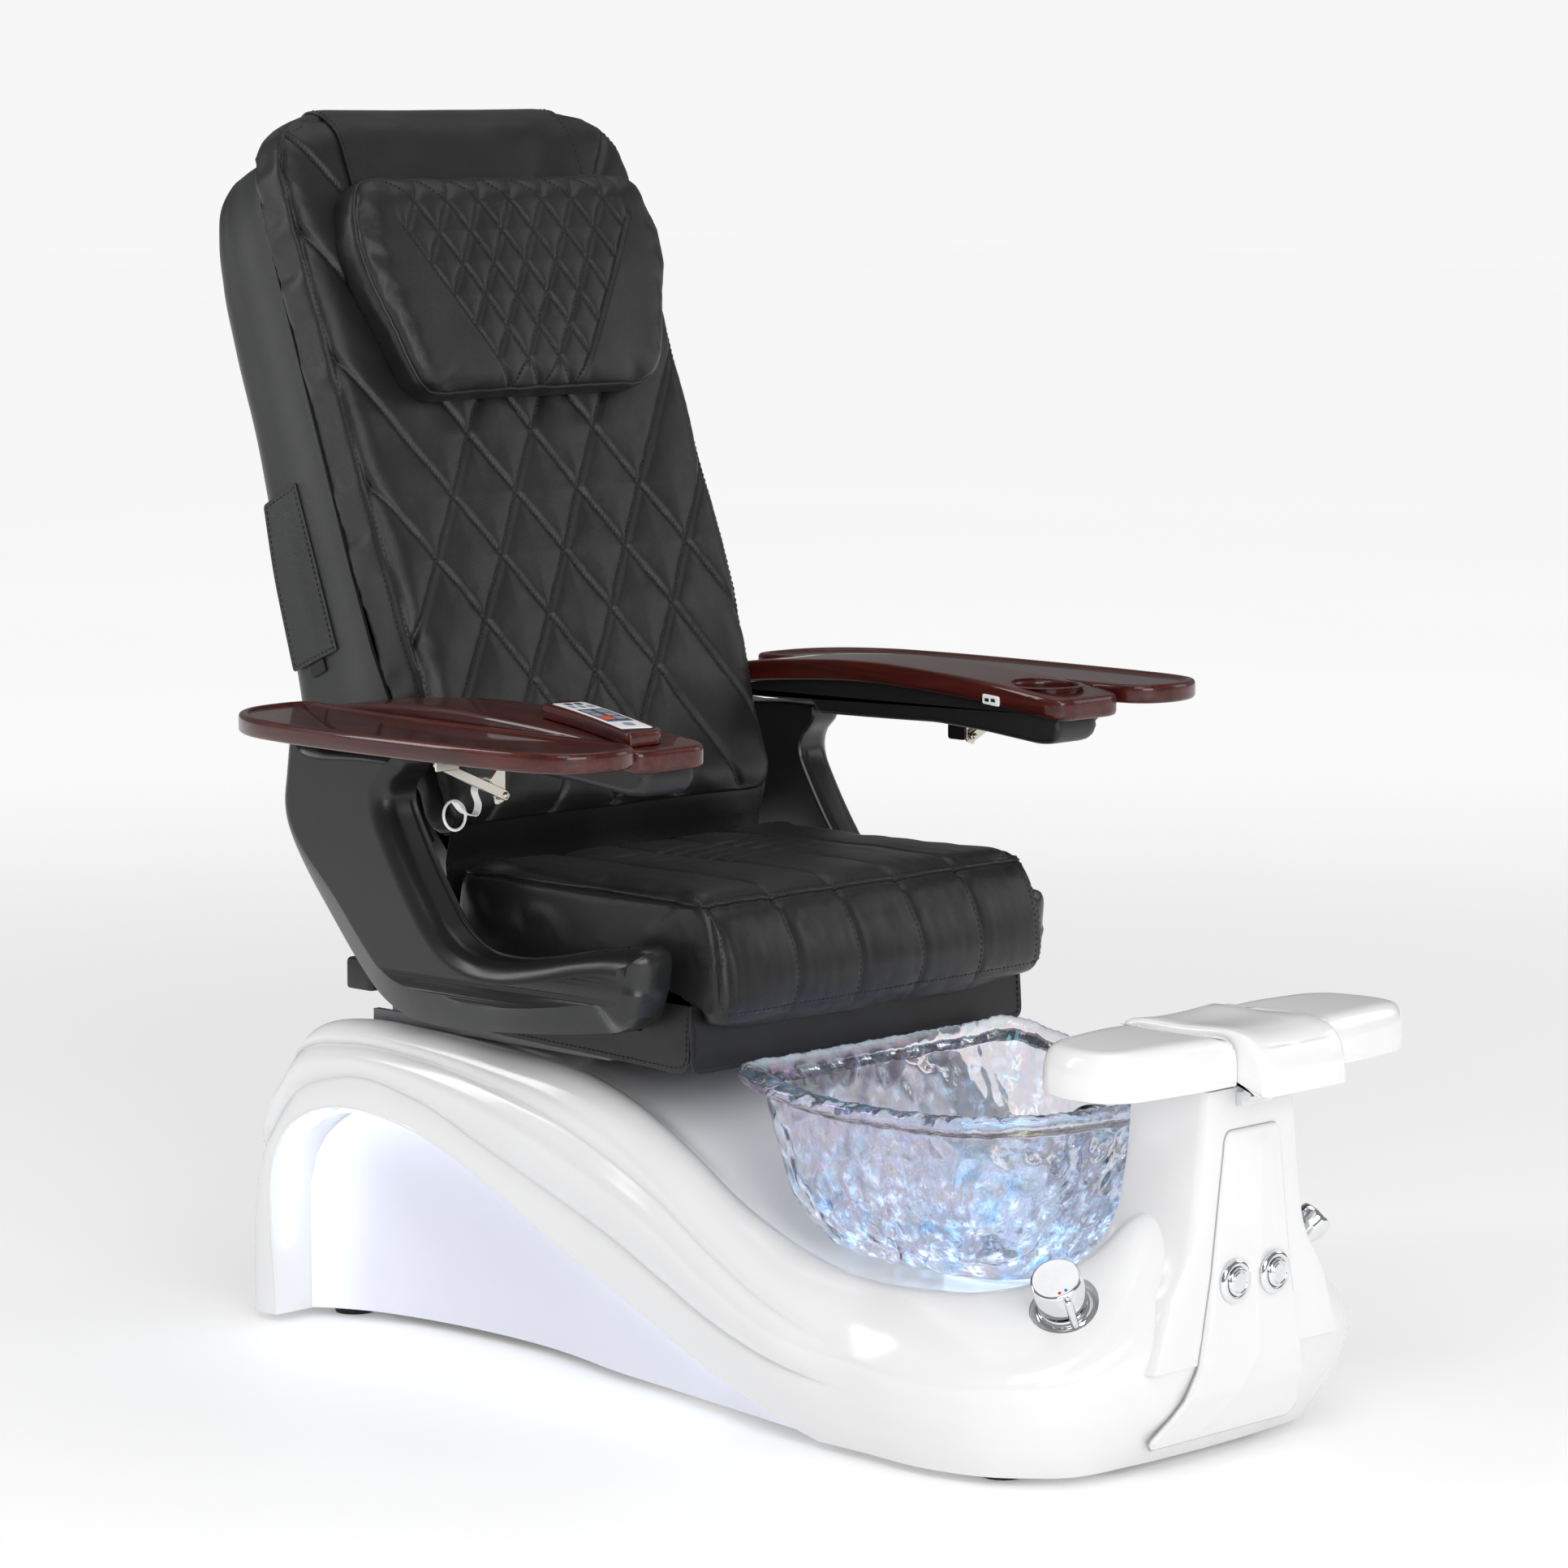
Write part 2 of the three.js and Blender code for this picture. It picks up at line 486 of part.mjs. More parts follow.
// ---- footrest ----
function buildFootrest() {
  const { y, z } = FOOTREST_PIVOT;
  const plate = box(-24, 24, POST_FRONT_Y - 8, POST_FRONT_Y - GAP, 372, 386);
  add('footrest_hinge', join(bar([-24, y, z], [24, y, z], 6, 16), plate), 'chrome');
  const saddle = smoothLine([[-612, 396], [-611, 440], [-620, 451], [-690, 454], [-755, 455], [-782, 446],
    [-795, 424], [-798, 393]], 20);
  const underside = [[-786, 391], [-776, 397], [-762, 403], [-727, 403], [-727, 396]];
  add('footrest_pad_centre', sidePlate([...saddle, ...underside], -66, 66), 'white');
  const [padInner, padMiddleY] = [67, -692];
  const plan = [[padInner, -622], [150, -625], [200, -632], [228, -652], [238, -696], [234, -732], [212, -752],
    [150, -760], [padInner, -763]];
  const levels = [[401, 0], [426, 0], [440, 3], [448, 10]];
  for (const [side, tag] of [[1, 'left'], [-1, 'right']]) {
    add(`footrest_pad_${tag}`, loft(levels.map(([height, inset]) => onSide(side, plan.map(([x, py]) => [
      padInner + (x - padInner) * (1 - inset / 190), padMiddleY + (py - padMiddleY) * (1 - inset / 80), height,
    ])))), 'white');
  }
}

// ---- sliding chair: pan, cushion, skirts and side panels ----
function buildSeat() {
  const plate = box(-246, 246, -190, 205, PAN_LOW, PAN_HIGH);
  const shoe = (x, y) => box(x - 8, x + 8, y, y + 50, PAN_LOW - 39, PAN_LOW + 2);
  const shoes = [RAIL_X, -RAIL_X].flatMap((x) => [shoe(x, -10), shoe(x, 150)]);
  const armReach = PANEL_INNER - GAP;
  const arms = [-120, 90].map((y) => box(-armReach, armReach, y, y + 30, PAN_LOW, PAN_LOW + 20));
  const ear = [[95, PAN_LOW], [225, PAN_LOW], [246, 470], [238, 486], [222, 486], [205, 452],
    [95, PAN_LOW + 20]];
  const ears = [1, -1].map((side) => sidePlate(ear, ...spanX(side, 269, 277)));
  add('seat_pan', join(plate, ...shoes, ...arms, ...ears), 'steel');

  const side = [[165, 438], [172, 470], [170, 520], [155, SEAT_TOP - 4], [-60, SEAT_TOP - 2], [-195, SEAT_TOP],
    [-226, SEAT_TOP - 10], [-243, 512], [-246, 460], [-240, 424], [-224, 409], [-205, 411], [-200, 438]];
  add('seat_cushion', sidePlate(side, -SEAT_HALF, SEAT_HALF), 'vinyl');
  add('front_skirt', box(-SEAT_HALF, SEAT_HALF, -196, -193, 362, 437), 'vinyl');
  const skirtTop = PAN_LOW - GAP;
  const skirt = [[-186, 374], [-170, 362], [-60, 366], [120, 372], [120, skirtTop], [-186, skirtTop]];
  for (const [s, tag] of [[1, 'left'], [-1, 'right']]) {
    add(`side_skirt_${tag}`, sidePlate(skirt, ...spanX(s, 248, 251)), 'vinyl');
    add(`side_panel_${tag}`, sidePanel(s), 'moulding');
  }
  add('rear_cover', box(-286, 286, 258, 300, PAN_LOW, 438), 'moulding');
  const cylinder = bar([120, -60, 389], [120, 120, 389], 13, 16);
  add('recline_actuator', join(cylinder, box(100, 140, -60, -20, 376, PAN_LOW - GAP)), 'moulding');
}

// C-shaped side panel: outline in (y, z).
const PANEL_LUG = [[205, 676], [270, 672], [301, 674], [303, 706], [318, 706], [324, 690]];
const PANEL_BACK = [[330, 640], [334, 610], [331, 582], [316, 546], [282, 500], [232, 444], [194, 411],
  [155, 395], [101, 390], [2, 395], [-120, 407], [-180, 418], [-198, 432]];
const PANEL_FRONT = [[-209, 460], [-212, 492], [-206, 502], [-168, 499], [-108, 489], [-50, 477], [1, 471],
  [46, 474], [84, 492], [125, 541], [158, 592], [172, 620], [171, 638], [152, 660], [152, 676]];

function sidePanel(side) {
  const bevel = 5;
  const edge = [...PANEL_LUG, ...smoothLine(PANEL_BACK, 18), ...smoothLine(PANEL_FRONT, 24)];
  const g = new THREE.ExtrudeGeometry(outline(edge), {
    depth: PANEL_OUTER - PANEL_INNER - 2 * bevel, bevelEnabled: true,
    bevelThickness: bevel, bevelSize: bevel, bevelOffset: -bevel, bevelSegments: 1,
  });
  return weld(standSideways(g, spanX(side, PANEL_INNER, PANEL_OUTER)[0] + bevel));
}

// ---- reclining backrest, drawn upright about its pivot: y is depth (front is -y), z runs up the back ----
const back = new THREE.Group();
back.position.set(0, BACK_PIVOT.y, BACK_PIVOT.z);
back.rotation.x = -RECLINE;
chair.add(back);

// Cushion levels: height, half width and depth of the front. Pillow levels hold its rear face's depth too.
const CUSHION_LEVELS = [[84, 246, 78], [110, 252, 82], [290, 261, 84], [430, 265, 85], [560, 278, 86],
  [720, 288, 88], [800, 284, 90], [856, 262, 90], [890, 228, 88], [912, 180, 78]];
const CUSHION_REAR = 8;
const PILLOW_LEVELS = [[548, 140, 118, 100], [556, 152, 130, 98], [640, 190, 158, 96], [715, 219, 166, 96],
  [780, 207, 166, 98], [804, 188, 150, 100]];
// The rear shell's outline as (depth, height), from its lower front edge round the back to its top.
const SHELL_BACK = [[12, 62], [100, 84], [118, 110], [121, 237], [113, 290], [98, 435], [83, 565], [82, 682],
  [77, 746], [62, 799], [42, 838], [12, 856]];
const BACK_SHELL_HALF = 246;

// One level of a cushion: a rectangle in plan with its two front corners rounded off.
function cushionLoop(z, half, front, rear) {
  const corner = Math.min(34, (front + rear) * 0.4);
  const right = [[half - corner * 0.7, -front], [half - 6, -front + corner * 0.55],
    [half, -front + corner * 1.6], [half, rear]];
  return [...right, ...mirrorX(right).reverse()].map(([x, y]) => [x, y, z]);
}

function buildBack() {
  const shellWall = 7;
  const [openBelow, top] = [30, SHELL_BACK.at(-1)[1]];
  const lining = SHELL_BACK.slice(2).map(([y, z]) => [
    Math.max(y - shellWall, 0), Math.min(z, top - shellWall - y * 0.3)]);
  const inside = [[0, openBelow], [SHELL_BACK[2][0] - shellWall, openBelow], ...lining];
  const innerHalf = BACK_SHELL_HALF - shellWall;
  const outer = sidePlate(SHELL_BACK, -BACK_SHELL_HALF, BACK_SHELL_HALF);
  add('back_shell', cut(outer, sidePlate(inside, -innerHalf, innerHalf)), 'moulding', back);

  const plate = box(-150, 150, 66, 69, 110, 690);
  const rails = [box(-150, -140, 44, 68, 110, 690), box(140, 150, 44, 68, 110, 690)];
  const leg = [[-9, -9], [9, -9], [56, 90], [69, 110], [69, 200], [44, 200], [44, 140], [-9, 9]];
  const legs = [146, -154].map((x) => sidePlate(leg, x, x + 8));
  add('back_frame', join(plate, ...rails, ...legs, bar([-266, 0, 0], [266, 0, 0], 9, 16)), 'steel', back);

  const cushion = loft(CUSHION_LEVELS.map((level) => cushionLoop(...level, CUSHION_REAR)));
  add('back_cushion', cushion, 'vinyl', back);
  const pillow = loft(PILLOW_LEVELS.map(([z, half, front, rear]) => cushionLoop(z, half, front, -rear)));
  add('pillow', pillow, 'vinyl', back);
  add('magazine_pocket', sidePlate([[12, 318], [88, 314], [70, 500], [12, 508]], -251, -247), 'vinyl', back);

  const [axleY, axleZ] = [36, 540];
  const carriage = box(-112, 112, 44, 65.5, 420, 500);
  const forks = [-94, 84].map((x) => box(x, x + 10, axleY - 8, 60, 470, axleZ + 12));
  add('massage_carriage', join(carriage, ...forks), 'moulding', back);
  const rollers = [[-66, -34], [34, 66]].map(([x0, x1]) => bar([x0, axleY, axleZ], [x1, axleY, axleZ], 22, 18));
  add('massage_rollers', join(bar([-82, axleY, axleZ], [82, axleY, axleZ], 5), ...rollers), 'rubber', back);
}

// ---- armrests and fold-down trays ----
// Height of the armrest's top along its length, and the plan of its outer edge.
const ARM_TOP = smoothLine([[299, 708], [250, 720], [128, 732], [40, 735], [-57, 731], [-117, 727], [-176, 721],
  [-240, 713]], 14);
const ARM_PLAN = [[ARM_INNER, 290], [ARM_INNER, -222], [ARM_INNER + 6, -236], [ARM_INNER + 18, -241],
  [352, -241], [368, -236], [ARM_OUTER, -222], [ARM_OUTER, -120], [371, -20], [365, 80], [355, 170], [340, 260], [334, 290],
  [326, 298], [278, 298]];
const WOOD_THICK = 24;
const CUP = { x: 321, y: -172, r: 38, floor: 672 };
const BRACKET_Z = 650;          // pin of the folding strut under each tray
const TRAY_INNER = [[381, -238], [376, -205], [375, -120], [374, -20], [368, 80], [358, 170], [344, 255],
  [341, 275]];
const TRAY_OUTER = [[345, 290], [358, 296], [385, 297], [424, 290], [462, 265], [490, 218], [503, 150],
  [509, 50], [510, -60], [508, -150], [501, -215], [485, -248], [455, -265], [422, -268], [396, -258]];
const TRAY_PLAN = [...TRAY_INNER, ...TRAY_OUTER];
const TRAY_MIDDLE = [430, 10];

// A strip that follows the armrest's top curve, between two depths under it.
function armBand(upper, lower) {
  const top = ARM_TOP.map(([y, z]) => [y, z - upper]);
  const bottom = ARM_TOP.map(([y, z]) => [y, z - lower]).reverse();
  return [...top, ...bottom];
}

function buildArms() {
  for (const [side, tag] of [[1, 'left'], [-1, 'right']]) {
    const plan = planPlate(onSide(side, ARM_PLAN), 600, 800);
    const cupAxis = (from, radius) => bar([side * CUP.x, CUP.y, from], [side * CUP.x, CUP.y, 760], radius, 28);
    const wood = common(plan, sidePlate(armBand(0, WOOD_THICK), ...spanX(side, 250, 390)));
    add(`armrest_top_${tag}`, side > 0 ? cut(wood, cupAxis(CUP.floor + 4, CUP.r)) : wood, 'wood');

    const [shellFront, shellRear] = [-232, 294];
    const under = [[shellRear, 681], [142, 681], [134, 669], [28, 671], [-45, 673], [-117, 669], [-200, 661],
      [-222, 664], [shellFront, 688 - GAP]];
    const belly = ARM_TOP.map(([y, z]) => [
      Math.max(Math.min(y, shellRear), shellFront), z - WOOD_THICK - GAP]).reverse();
    const lug = box(...spanX(side, 349, 353), -28, -2, BRACKET_Z - 6, BRACKET_Z + 40);
    const trough = join(sidePlate([...under, ...belly], ...spanX(side, 278, 350)), lug);
    add(`armrest_shell_${tag}`, side > 0 ? cut(trough, cupAxis(CUP.floor, CUP.r - 5)) : trough, 'moulding');

    buildTray(side, tag);
  }
  const remote = [[-366, -222], [-322, -222], [-312, -212], [-286, -66], [-292, -60], [-330, -60], [-338, -66]];
  const lyingOnTop = sidePlate(armBand(-15, -GAP), -380, -270);
  add('remote_control', common(planPlate(remote, 700, 800), lyingOnTop), 'moulding');
}

// A tray with its sunk field, and the strut that holds it up.
function buildTray(side, tag) {
  const [fieldWidth, fieldLength, fieldDepth] = [0.88, 0.97, 3];
  const [cx, cy] = TRAY_MIDDLE;
  const tray = planPlate(onSide(side, TRAY_PLAN), TRAY_TOP - TRAY_THICK, TRAY_TOP);
  const field = TRAY_PLAN.map(([x, y]) => [cx + (x - cx) * fieldWidth, cy + (y - cy) * fieldLength]);
  const dish = planPlate(onSide(side, field), TRAY_TOP - fieldDepth, TRAY_TOP + 5);
  add(`tray_${tag}`, cut(tray, dish), 'wood');

  const strut = [[0, -6], [-6, 0], [0, 6], [92, 45], [98, 44], [99, 38]];
  const place = strut.map(([u, v]) => [358 + u, BRACKET_Z + v]);
  add(`tray_strut_${tag}`, frontPlate(onSide(side, place), -34, -30), 'steel');
}

buildBase();
buildFront();
buildBowl();
buildTaps();
buildStructure();
buildFootrest();
buildSeat();
buildBack();
buildArms();

const group = new THREE.Group();
group.add(chair);
export default group;
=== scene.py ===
import math

import bmesh
import bpy
import numpy as np
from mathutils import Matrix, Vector
from mathutils.bvhtree import BVHTree
from mathutils.geometry import tessellate_polygon


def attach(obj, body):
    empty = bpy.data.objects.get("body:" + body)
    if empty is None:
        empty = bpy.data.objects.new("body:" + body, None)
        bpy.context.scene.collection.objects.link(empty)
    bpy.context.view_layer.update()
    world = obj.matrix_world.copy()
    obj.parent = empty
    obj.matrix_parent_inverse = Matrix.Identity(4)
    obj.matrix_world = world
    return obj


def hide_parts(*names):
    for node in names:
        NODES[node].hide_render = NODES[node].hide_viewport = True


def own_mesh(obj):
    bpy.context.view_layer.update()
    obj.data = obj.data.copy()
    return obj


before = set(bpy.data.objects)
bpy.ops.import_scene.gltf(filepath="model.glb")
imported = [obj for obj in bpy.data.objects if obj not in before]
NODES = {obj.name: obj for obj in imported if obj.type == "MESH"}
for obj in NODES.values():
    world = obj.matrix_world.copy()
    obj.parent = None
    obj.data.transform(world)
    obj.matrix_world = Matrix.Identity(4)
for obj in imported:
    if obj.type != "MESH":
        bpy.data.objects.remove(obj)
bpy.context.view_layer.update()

SCENE = bpy.context.scene
MM = 0.001
SHIFT = 118.0                   # design y = 0 to the middle of the overall length
LEAN = math.radians(20)
PIVOT_Y, PIVOT_Z = 230.0, 470.0

# ------------------------------------------------------------------ numbers and noise
RNG = np.random.default_rng(11)
LATTICE = RNG.random((32, 32, 32))
JITTER = RNG.random((16, 16, 16, 3))


def value_noise(p, scale):
    """Smooth noise from -1 to 1 at points p (N, 3), one wave in about `scale` units."""
    q = np.asarray(p, float) / scale
    i = np.floor(q).astype(int)
    f = q - i
    f = f * f * (3 - 2 * f)
    total = np.zeros(len(q))
    for dx in (0, 1):
        for dy in (0, 1):
            for dz in (0, 1):
                w = (np.where(dx, f[:, 0], 1 - f[:, 0]) * np.where(dy, f[:, 1], 1 - f[:, 1])
                     * np.where(dz, f[:, 2], 1 - f[:, 2]))
                total += w * LATTICE[(i[:, 0] + dx) % 32, (i[:, 1] + dy) % 32, (i[:, 2] + dz) % 32]
    return total * 2 - 1


def cell_distance(p, scale):
    """Distance, in cells, from each point to the nearest of a set of scattered points."""
    q = np.asarray(p, float) / scale
    i = np.floor(q).astype(int)
    best = np.full(len(q), 9.0)
    for dx in (-1, 0, 1):
        for dy in (-1, 0, 1):
            for dz in (-1, 0, 1):
                j = i + (dx, dy, dz)
                seed = JITTER[j[:, 0] % 16, j[:, 1] % 16, j[:, 2] % 16]
                best = np.minimum(best, np.linalg.norm(j + seed - q, axis=1))
    return best


def smooth_step(x, low, high):
    t = np.clip((np.asarray(x, float) - low) / (high - low), 0, 1)
    return t * t * (3 - 2 * t)


def spline(points, count, closed=False):
    """Points spread evenly along a smooth line through the given points."""
    p = np.asarray(points, float)
    if closed:
        p = np.vstack([p[-2:], p, p[:3]])
    step = np.sqrt(np.linalg.norm(np.diff(p, axis=0), axis=1)) + 1e-9
    knots = np.concatenate([[0], np.cumsum(step)])
    fine = hermite(knots, p, np.linspace(knots[2], knots[-3], 40 * len(points)) if closed
                   else np.linspace(0, knots[-1], 40 * len(points)))
    run = np.concatenate([[0], np.cumsum(np.linalg.norm(np.diff(fine, axis=0), axis=1))])
    want = np.linspace(0, run[-1], count + 1)[:-1] if closed else np.linspace(0, run[-1], count)
    return np.stack([np.interp(want, run, fine[:, k]) for k in range(p.shape[1])], axis=1)


def hermite(knots, values, at):
    """Smooth curve through values (n, ...) at knots, read at the given places."""
    h = np.diff(knots)
    slope = np.diff(values, axis=0) / h.reshape(-1, *[1] * (values.ndim - 1))
    m = np.empty_like(values)
    m[0], m[-1] = slope[0], slope[-1]
    a, b = h[1:], h[:-1]
    shape = (-1, *[1] * (values.ndim - 1))
    m[1:-1] = (slope[:-1] * a.reshape(shape) + slope[1:] * b.reshape(shape)) / (a + b).reshape(shape)
    k = np.clip(np.searchsorted(knots, at, side="right") - 1, 0, len(knots) - 2)
    t = ((at - knots[k]) / h[k]).reshape(shape)
    d = h[k].reshape(shape)
    return ((2 * t ** 3 - 3 * t ** 2 + 1) * values[k] + (t ** 3 - 2 * t ** 2 + t) * d * m[k]
            + (-2 * t ** 3 + 3 * t ** 2) * values[k + 1] + (t ** 3 - t ** 2) * d * m[k + 1])


def nearest(line, places):
    """Distance from each place to the closest point of a line, both (N, 2)."""
    return np.array([np.min(np.hypot(line[:, 0] - u, line[:, 1] - v)) for u, v in places])


def corner_arc(a, b, c, radius, steps):
    """The corner at b, between a and c, rounded off."""
    ra, rc = np.linalg.norm(a - b), np.linalg.norm(c - b)
    if min(ra, rc) < 1e-6:
        return [b]
    r = min(radius, ra * 0.45, rc * 0.45)
    u, v = b + (a - b) / ra * r, b + (c - b) / rc * r
    return [(1 - s) ** 2 * u + 2 * s * (1 - s) * b + s * s * v for s in (k / steps for k in range(steps + 1))]


def rounded(profile, radius=0.8, steps=3):
    """Corners of an open (radius, height) profile rounded off."""
    p = [np.asarray(q, float) for q in profile]
    out = [p[0]]
    for a, b, c in zip(p, p[1:], p[2:]):
        out += corner_arc(a, b, c, radius, steps)
    return out + [p[-1]]


def round_corners(points, radius, steps=6):
    """Corners of a closed outline rounded off; radius is one number, or one per corner."""
    p = [np.asarray(q, float) for q in points]
    radii = radius if isinstance(radius, (list, tuple)) else [radius] * len(p)
    out = []
    for k, b in enumerate(p):
        out += corner_arc(p[k - 1], b, p[(k + 1) % len(p)], radii[k], steps)
    return np.array(out)


def resample(points, spacing, closed=True):
    """The same outline with points at most `spacing` apart; corners stay."""
    p = [np.asarray(q, float) for q in points]
    out = []
    for a, b in zip(p, p[1:] + (p[:1] if closed else [])):
        n = max(1, int(math.ceil(np.linalg.norm(b - a) / spacing)))
        out += [a + (b - a) * k / n for k in range(n)]
    return np.array(out if closed else out + [p[-1]])


# ------------------------------------------------------------------ mesh helpers
def to_row(points):
    """Design millimetres to metres in the row's frame."""
    p = np.asarray(points, float).reshape(-1, 3) * MM
    p[:, 1] += SHIFT * MM
    return p


def from_back(x, t, n):
    """Design points from backrest places: across, up the back, and out in front of it."""
    x, t, n = np.broadcast_arrays(np.asarray(x, float), np.asarray(t, float), np.asarray(n, float))
    y = PIVOT_Y + t * math.sin(LEAN) - n * math.cos(LEAN)
    z = PIVOT_Z + t * math.cos(LEAN) + n * math.sin(LEAN)
    return np.stack([x, y, z], axis=-1)


def back_way(x, t, n):
    """A direction given in the backrest's own axes."""
    return from_back(x, t, n) - from_back(0, 0, 0)


def to_back(p):
    """Backrest places (across, up, out in front) of design points."""
    x, y, z = p[:, 0], p[:, 1] - PIVOT_Y, p[:, 2] - PIVOT_Z
    return x, y * math.sin(LEAN) + z * math.cos(LEAN), -y * math.cos(LEAN) + z * math.sin(LEAN)


def new_object(name, points, faces):
    """points in design millimetres."""
    me = bpy.data.meshes.new(name)
    me.from_pydata(to_row(points).tolist(), [], [tuple(int(v) for v in f) for f in faces])
    ob = bpy.data.objects.new(name, me)
    SCENE.collection.objects.link(ob)
    return ob


def tidy_mesh(ob, weld=1e-5, angle=35.0, outward=True):
    """Welds the mesh, turns its faces outwards and shades it smooth up to an angle."""
    bm = bmesh.new()
    bm.from_mesh(ob.data)
    if weld:
        bmesh.ops.remove_doubles(bm, verts=bm.verts, dist=weld)
        bmesh.ops.dissolve_degenerate(bm, edges=bm.edges, dist=weld)
    if outward:
        bmesh.ops.recalc_face_normals(bm, faces=bm.faces)
    limit = math.radians(angle)
    for f in bm.faces:
        f.smooth = True
    for e in bm.edges:
        e.smooth = len(e.link_faces) != 2 or e.calc_face_angle(0) < limit
    bm.to_mesh(ob.data)
    bm.free()
    return ob


def finish_piece(ob, material, body, nodes=()):
    """Gives a piece its material and body, and hides the CAD nodes that it stands for."""
    ob.data.materials.clear()
    ob.data.materials.append(material)
    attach(ob, body)
    if nodes:
        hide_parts(*nodes)
    return ob


def bake(ob):
    """Applies every modifier to the mesh."""
    bpy.context.view_layer.update()
    graph = bpy.context.evaluated_depsgraph_get()
    graph.update()
    me = bpy.data.meshes.new_from_object(ob.evaluated_get(graph))
    old = ob.data
    ob.modifiers.clear()
    ob.data = me
    me.name = ob.name
    bpy.data.meshes.remove(old)
    return ob


def weigh_normals(ob):
    ob.modifiers.new("weighted", "WEIGHTED_NORMAL").keep_sharp = True


def coords(ob):
    """The mesh's points in design millimetres."""
    p = np.empty(len(ob.data.vertices) * 3)
    ob.data.vertices.foreach_get("co", p)
    p = p.reshape(-1, 3) / MM
    p[:, 1] -= SHIFT
    return p


def set_coords(ob, p):
    ob.data.vertices.foreach_set("co", to_row(p).ravel())
    ob.data.update()


def normals(ob):
    n = np.empty(len(ob.data.vertices) * 3)
    ob.data.vertex_normals.foreach_get("vector", n)
    return n.reshape(-1, 3)


def quads(rows, cols, wrap=False):
    """Faces of a grid of rows x cols points; wrap closes each row into a ring."""
    faces = []
    for r in range(rows - 1):
        for c in range(cols if wrap else cols - 1):
            d = (c + 1) % cols
            faces.append((r * cols + c, r * cols + d, (r + 1) * cols + d, (r + 1) * cols + c))
    return faces


def plate_faces(rows, cols):
    """Faces of a thin plate: a front and a rear grid of rows x cols points, joined round the rim."""
    n = rows * cols
    rim = ([k for k in range(cols)] + [(k + 1) * cols - 1 for k in range(1, rows)]
           + [n - 1 - k for k in range(1, cols)] + [(rows - 1 - k) * cols for k in range(1, rows - 1)])
    front = quads(rows, cols)
    return (front + [tuple(n + v for v in reversed(f)) for f in front]
            + [(a, n + a, n + b, b) for a, b in zip(rim, rim[1:] + rim[:1])])


def loft(name, loops, caps=True):
    """Closed loops of equal count skinned together, with a fan at each end."""
    loops = [np.asarray(loop, float) for loop in loops]
    n = len(loops[0])
    points = np.vstack(loops)
    faces = quads(len(loops), n, wrap=True)
    if caps:
        points = np.vstack([points, loops[0].mean(axis=0), loops[-1].mean(axis=0)])
        low, high, last = len(points) - 2, len(points) - 1, (len(loops) - 1) * n
        faces += [((i + 1) % n, i, low) for i in range(n)]
        faces += [(last + i, last + (i + 1) % n, high) for i in range(n)]
    return new_object(name, points, faces)


def inset_loop(loop, amount):
    """A closed 2-D outline moved inwards by amount (a number or one per point)."""
    p = np.asarray(loop, float)
    tangent = np.roll(p, -1, axis=0) - np.roll(p, 1, axis=0)
    tangent /= np.linalg.norm(tangent, axis=1)[:, None] + 1e-12
    area = 0.5 * np.sum(p[:, 0] * np.roll(p[:, 1], -1) - np.roll(p[:, 0], -1) * p[:, 1])
    inward = np.stack([-tangent[:, 1], tangent[:, 0]], axis=1) * np.sign(area)
    return p + inward * np.broadcast_to(np.asarray(amount, float), (len(p),))[:, None]


def slab(name, outline, rim, spine, place=None, low_parts=(0.6, 0.2), high_parts=(0.8, 0.6, 0.4, 0.2)):
    """A rounded plate: rim is (inset, height) from the under face's edge round to the top face's edge;
    both faces are then closed in towards the spine. place turns (x, y, z) into design points."""
    outline = np.asarray(outline, float)
    a, b = (np.asarray(s, float) for s in spine)
    t = np.clip(((outline - a) @ (b - a)) / max((b - a) @ (b - a), 1e-9), 0, 1)
    gap = np.linalg.norm(np.roll(outline, -1, axis=0) - outline, axis=1).max()
    steps = max(1, int(np.linalg.norm(b - a) / (1.6 * gap)))
    core = a + (np.round(t * steps) / steps)[:, None] * (b - a)
    rings = [(inset_loop(outline, inset), z) for inset, z in rim]
    first, last = rings[0], rings[-1]
    below = [(core + (first[0] - core) * f, first[1]) for f in reversed(low_parts)]
    above = [(core + (last[0] - core) * f, last[1]) for f in high_parts]
    levels = [(core, first[1])] + below + rings + above + [(core, last[1])]
    loops = [np.column_stack([xy, np.full(len(xy), z)]) for xy, z in levels]
    if place:
        loops = [place(loop) for loop in loops]
    return tidy_mesh(loft(name, loops, caps=False), weld=2e-5)


def rotate_to(along):
    return Vector((0, 0, 1)).rotation_difference(Vector(along).normalized()).to_matrix()


def lathe(name, profile, at, along, steps=64):
    """A turned piece: (radius, height) pairs, standing on a point and pointing along a direction."""
    turn = np.array(rotate_to(along))
    angle = np.linspace(0, 2 * math.pi, steps, endpoint=False)
    rings = []
    for r, h in profile:
        ring = np.stack([r * np.cos(angle), r * np.sin(angle), np.full(steps, float(h))], axis=1)
        rings.append(ring @ turn.T + np.asarray(at, float))
    ob = loft(name, rings, caps=False)
    return tidy_mesh(ob, weld=2e-6, angle=32)


def frames_along(path, up=(0, 0, 1), closed=False):
    """The side and top directions at each point of a path."""
    p = np.asarray(path, float)
    if closed:
        t = np.roll(p, -1, axis=0) - np.roll(p, 1, axis=0)
    else:
        t = np.gradient(p, axis=0)
    t /= np.linalg.norm(t, axis=1)[:, None] + 1e-12
    up = np.broadcast_to(np.asarray(up, float), p.shape)
    side = np.cross(t, up)
    side /= np.linalg.norm(side, axis=1)[:, None] + 1e-12
    return side, np.cross(side, t)


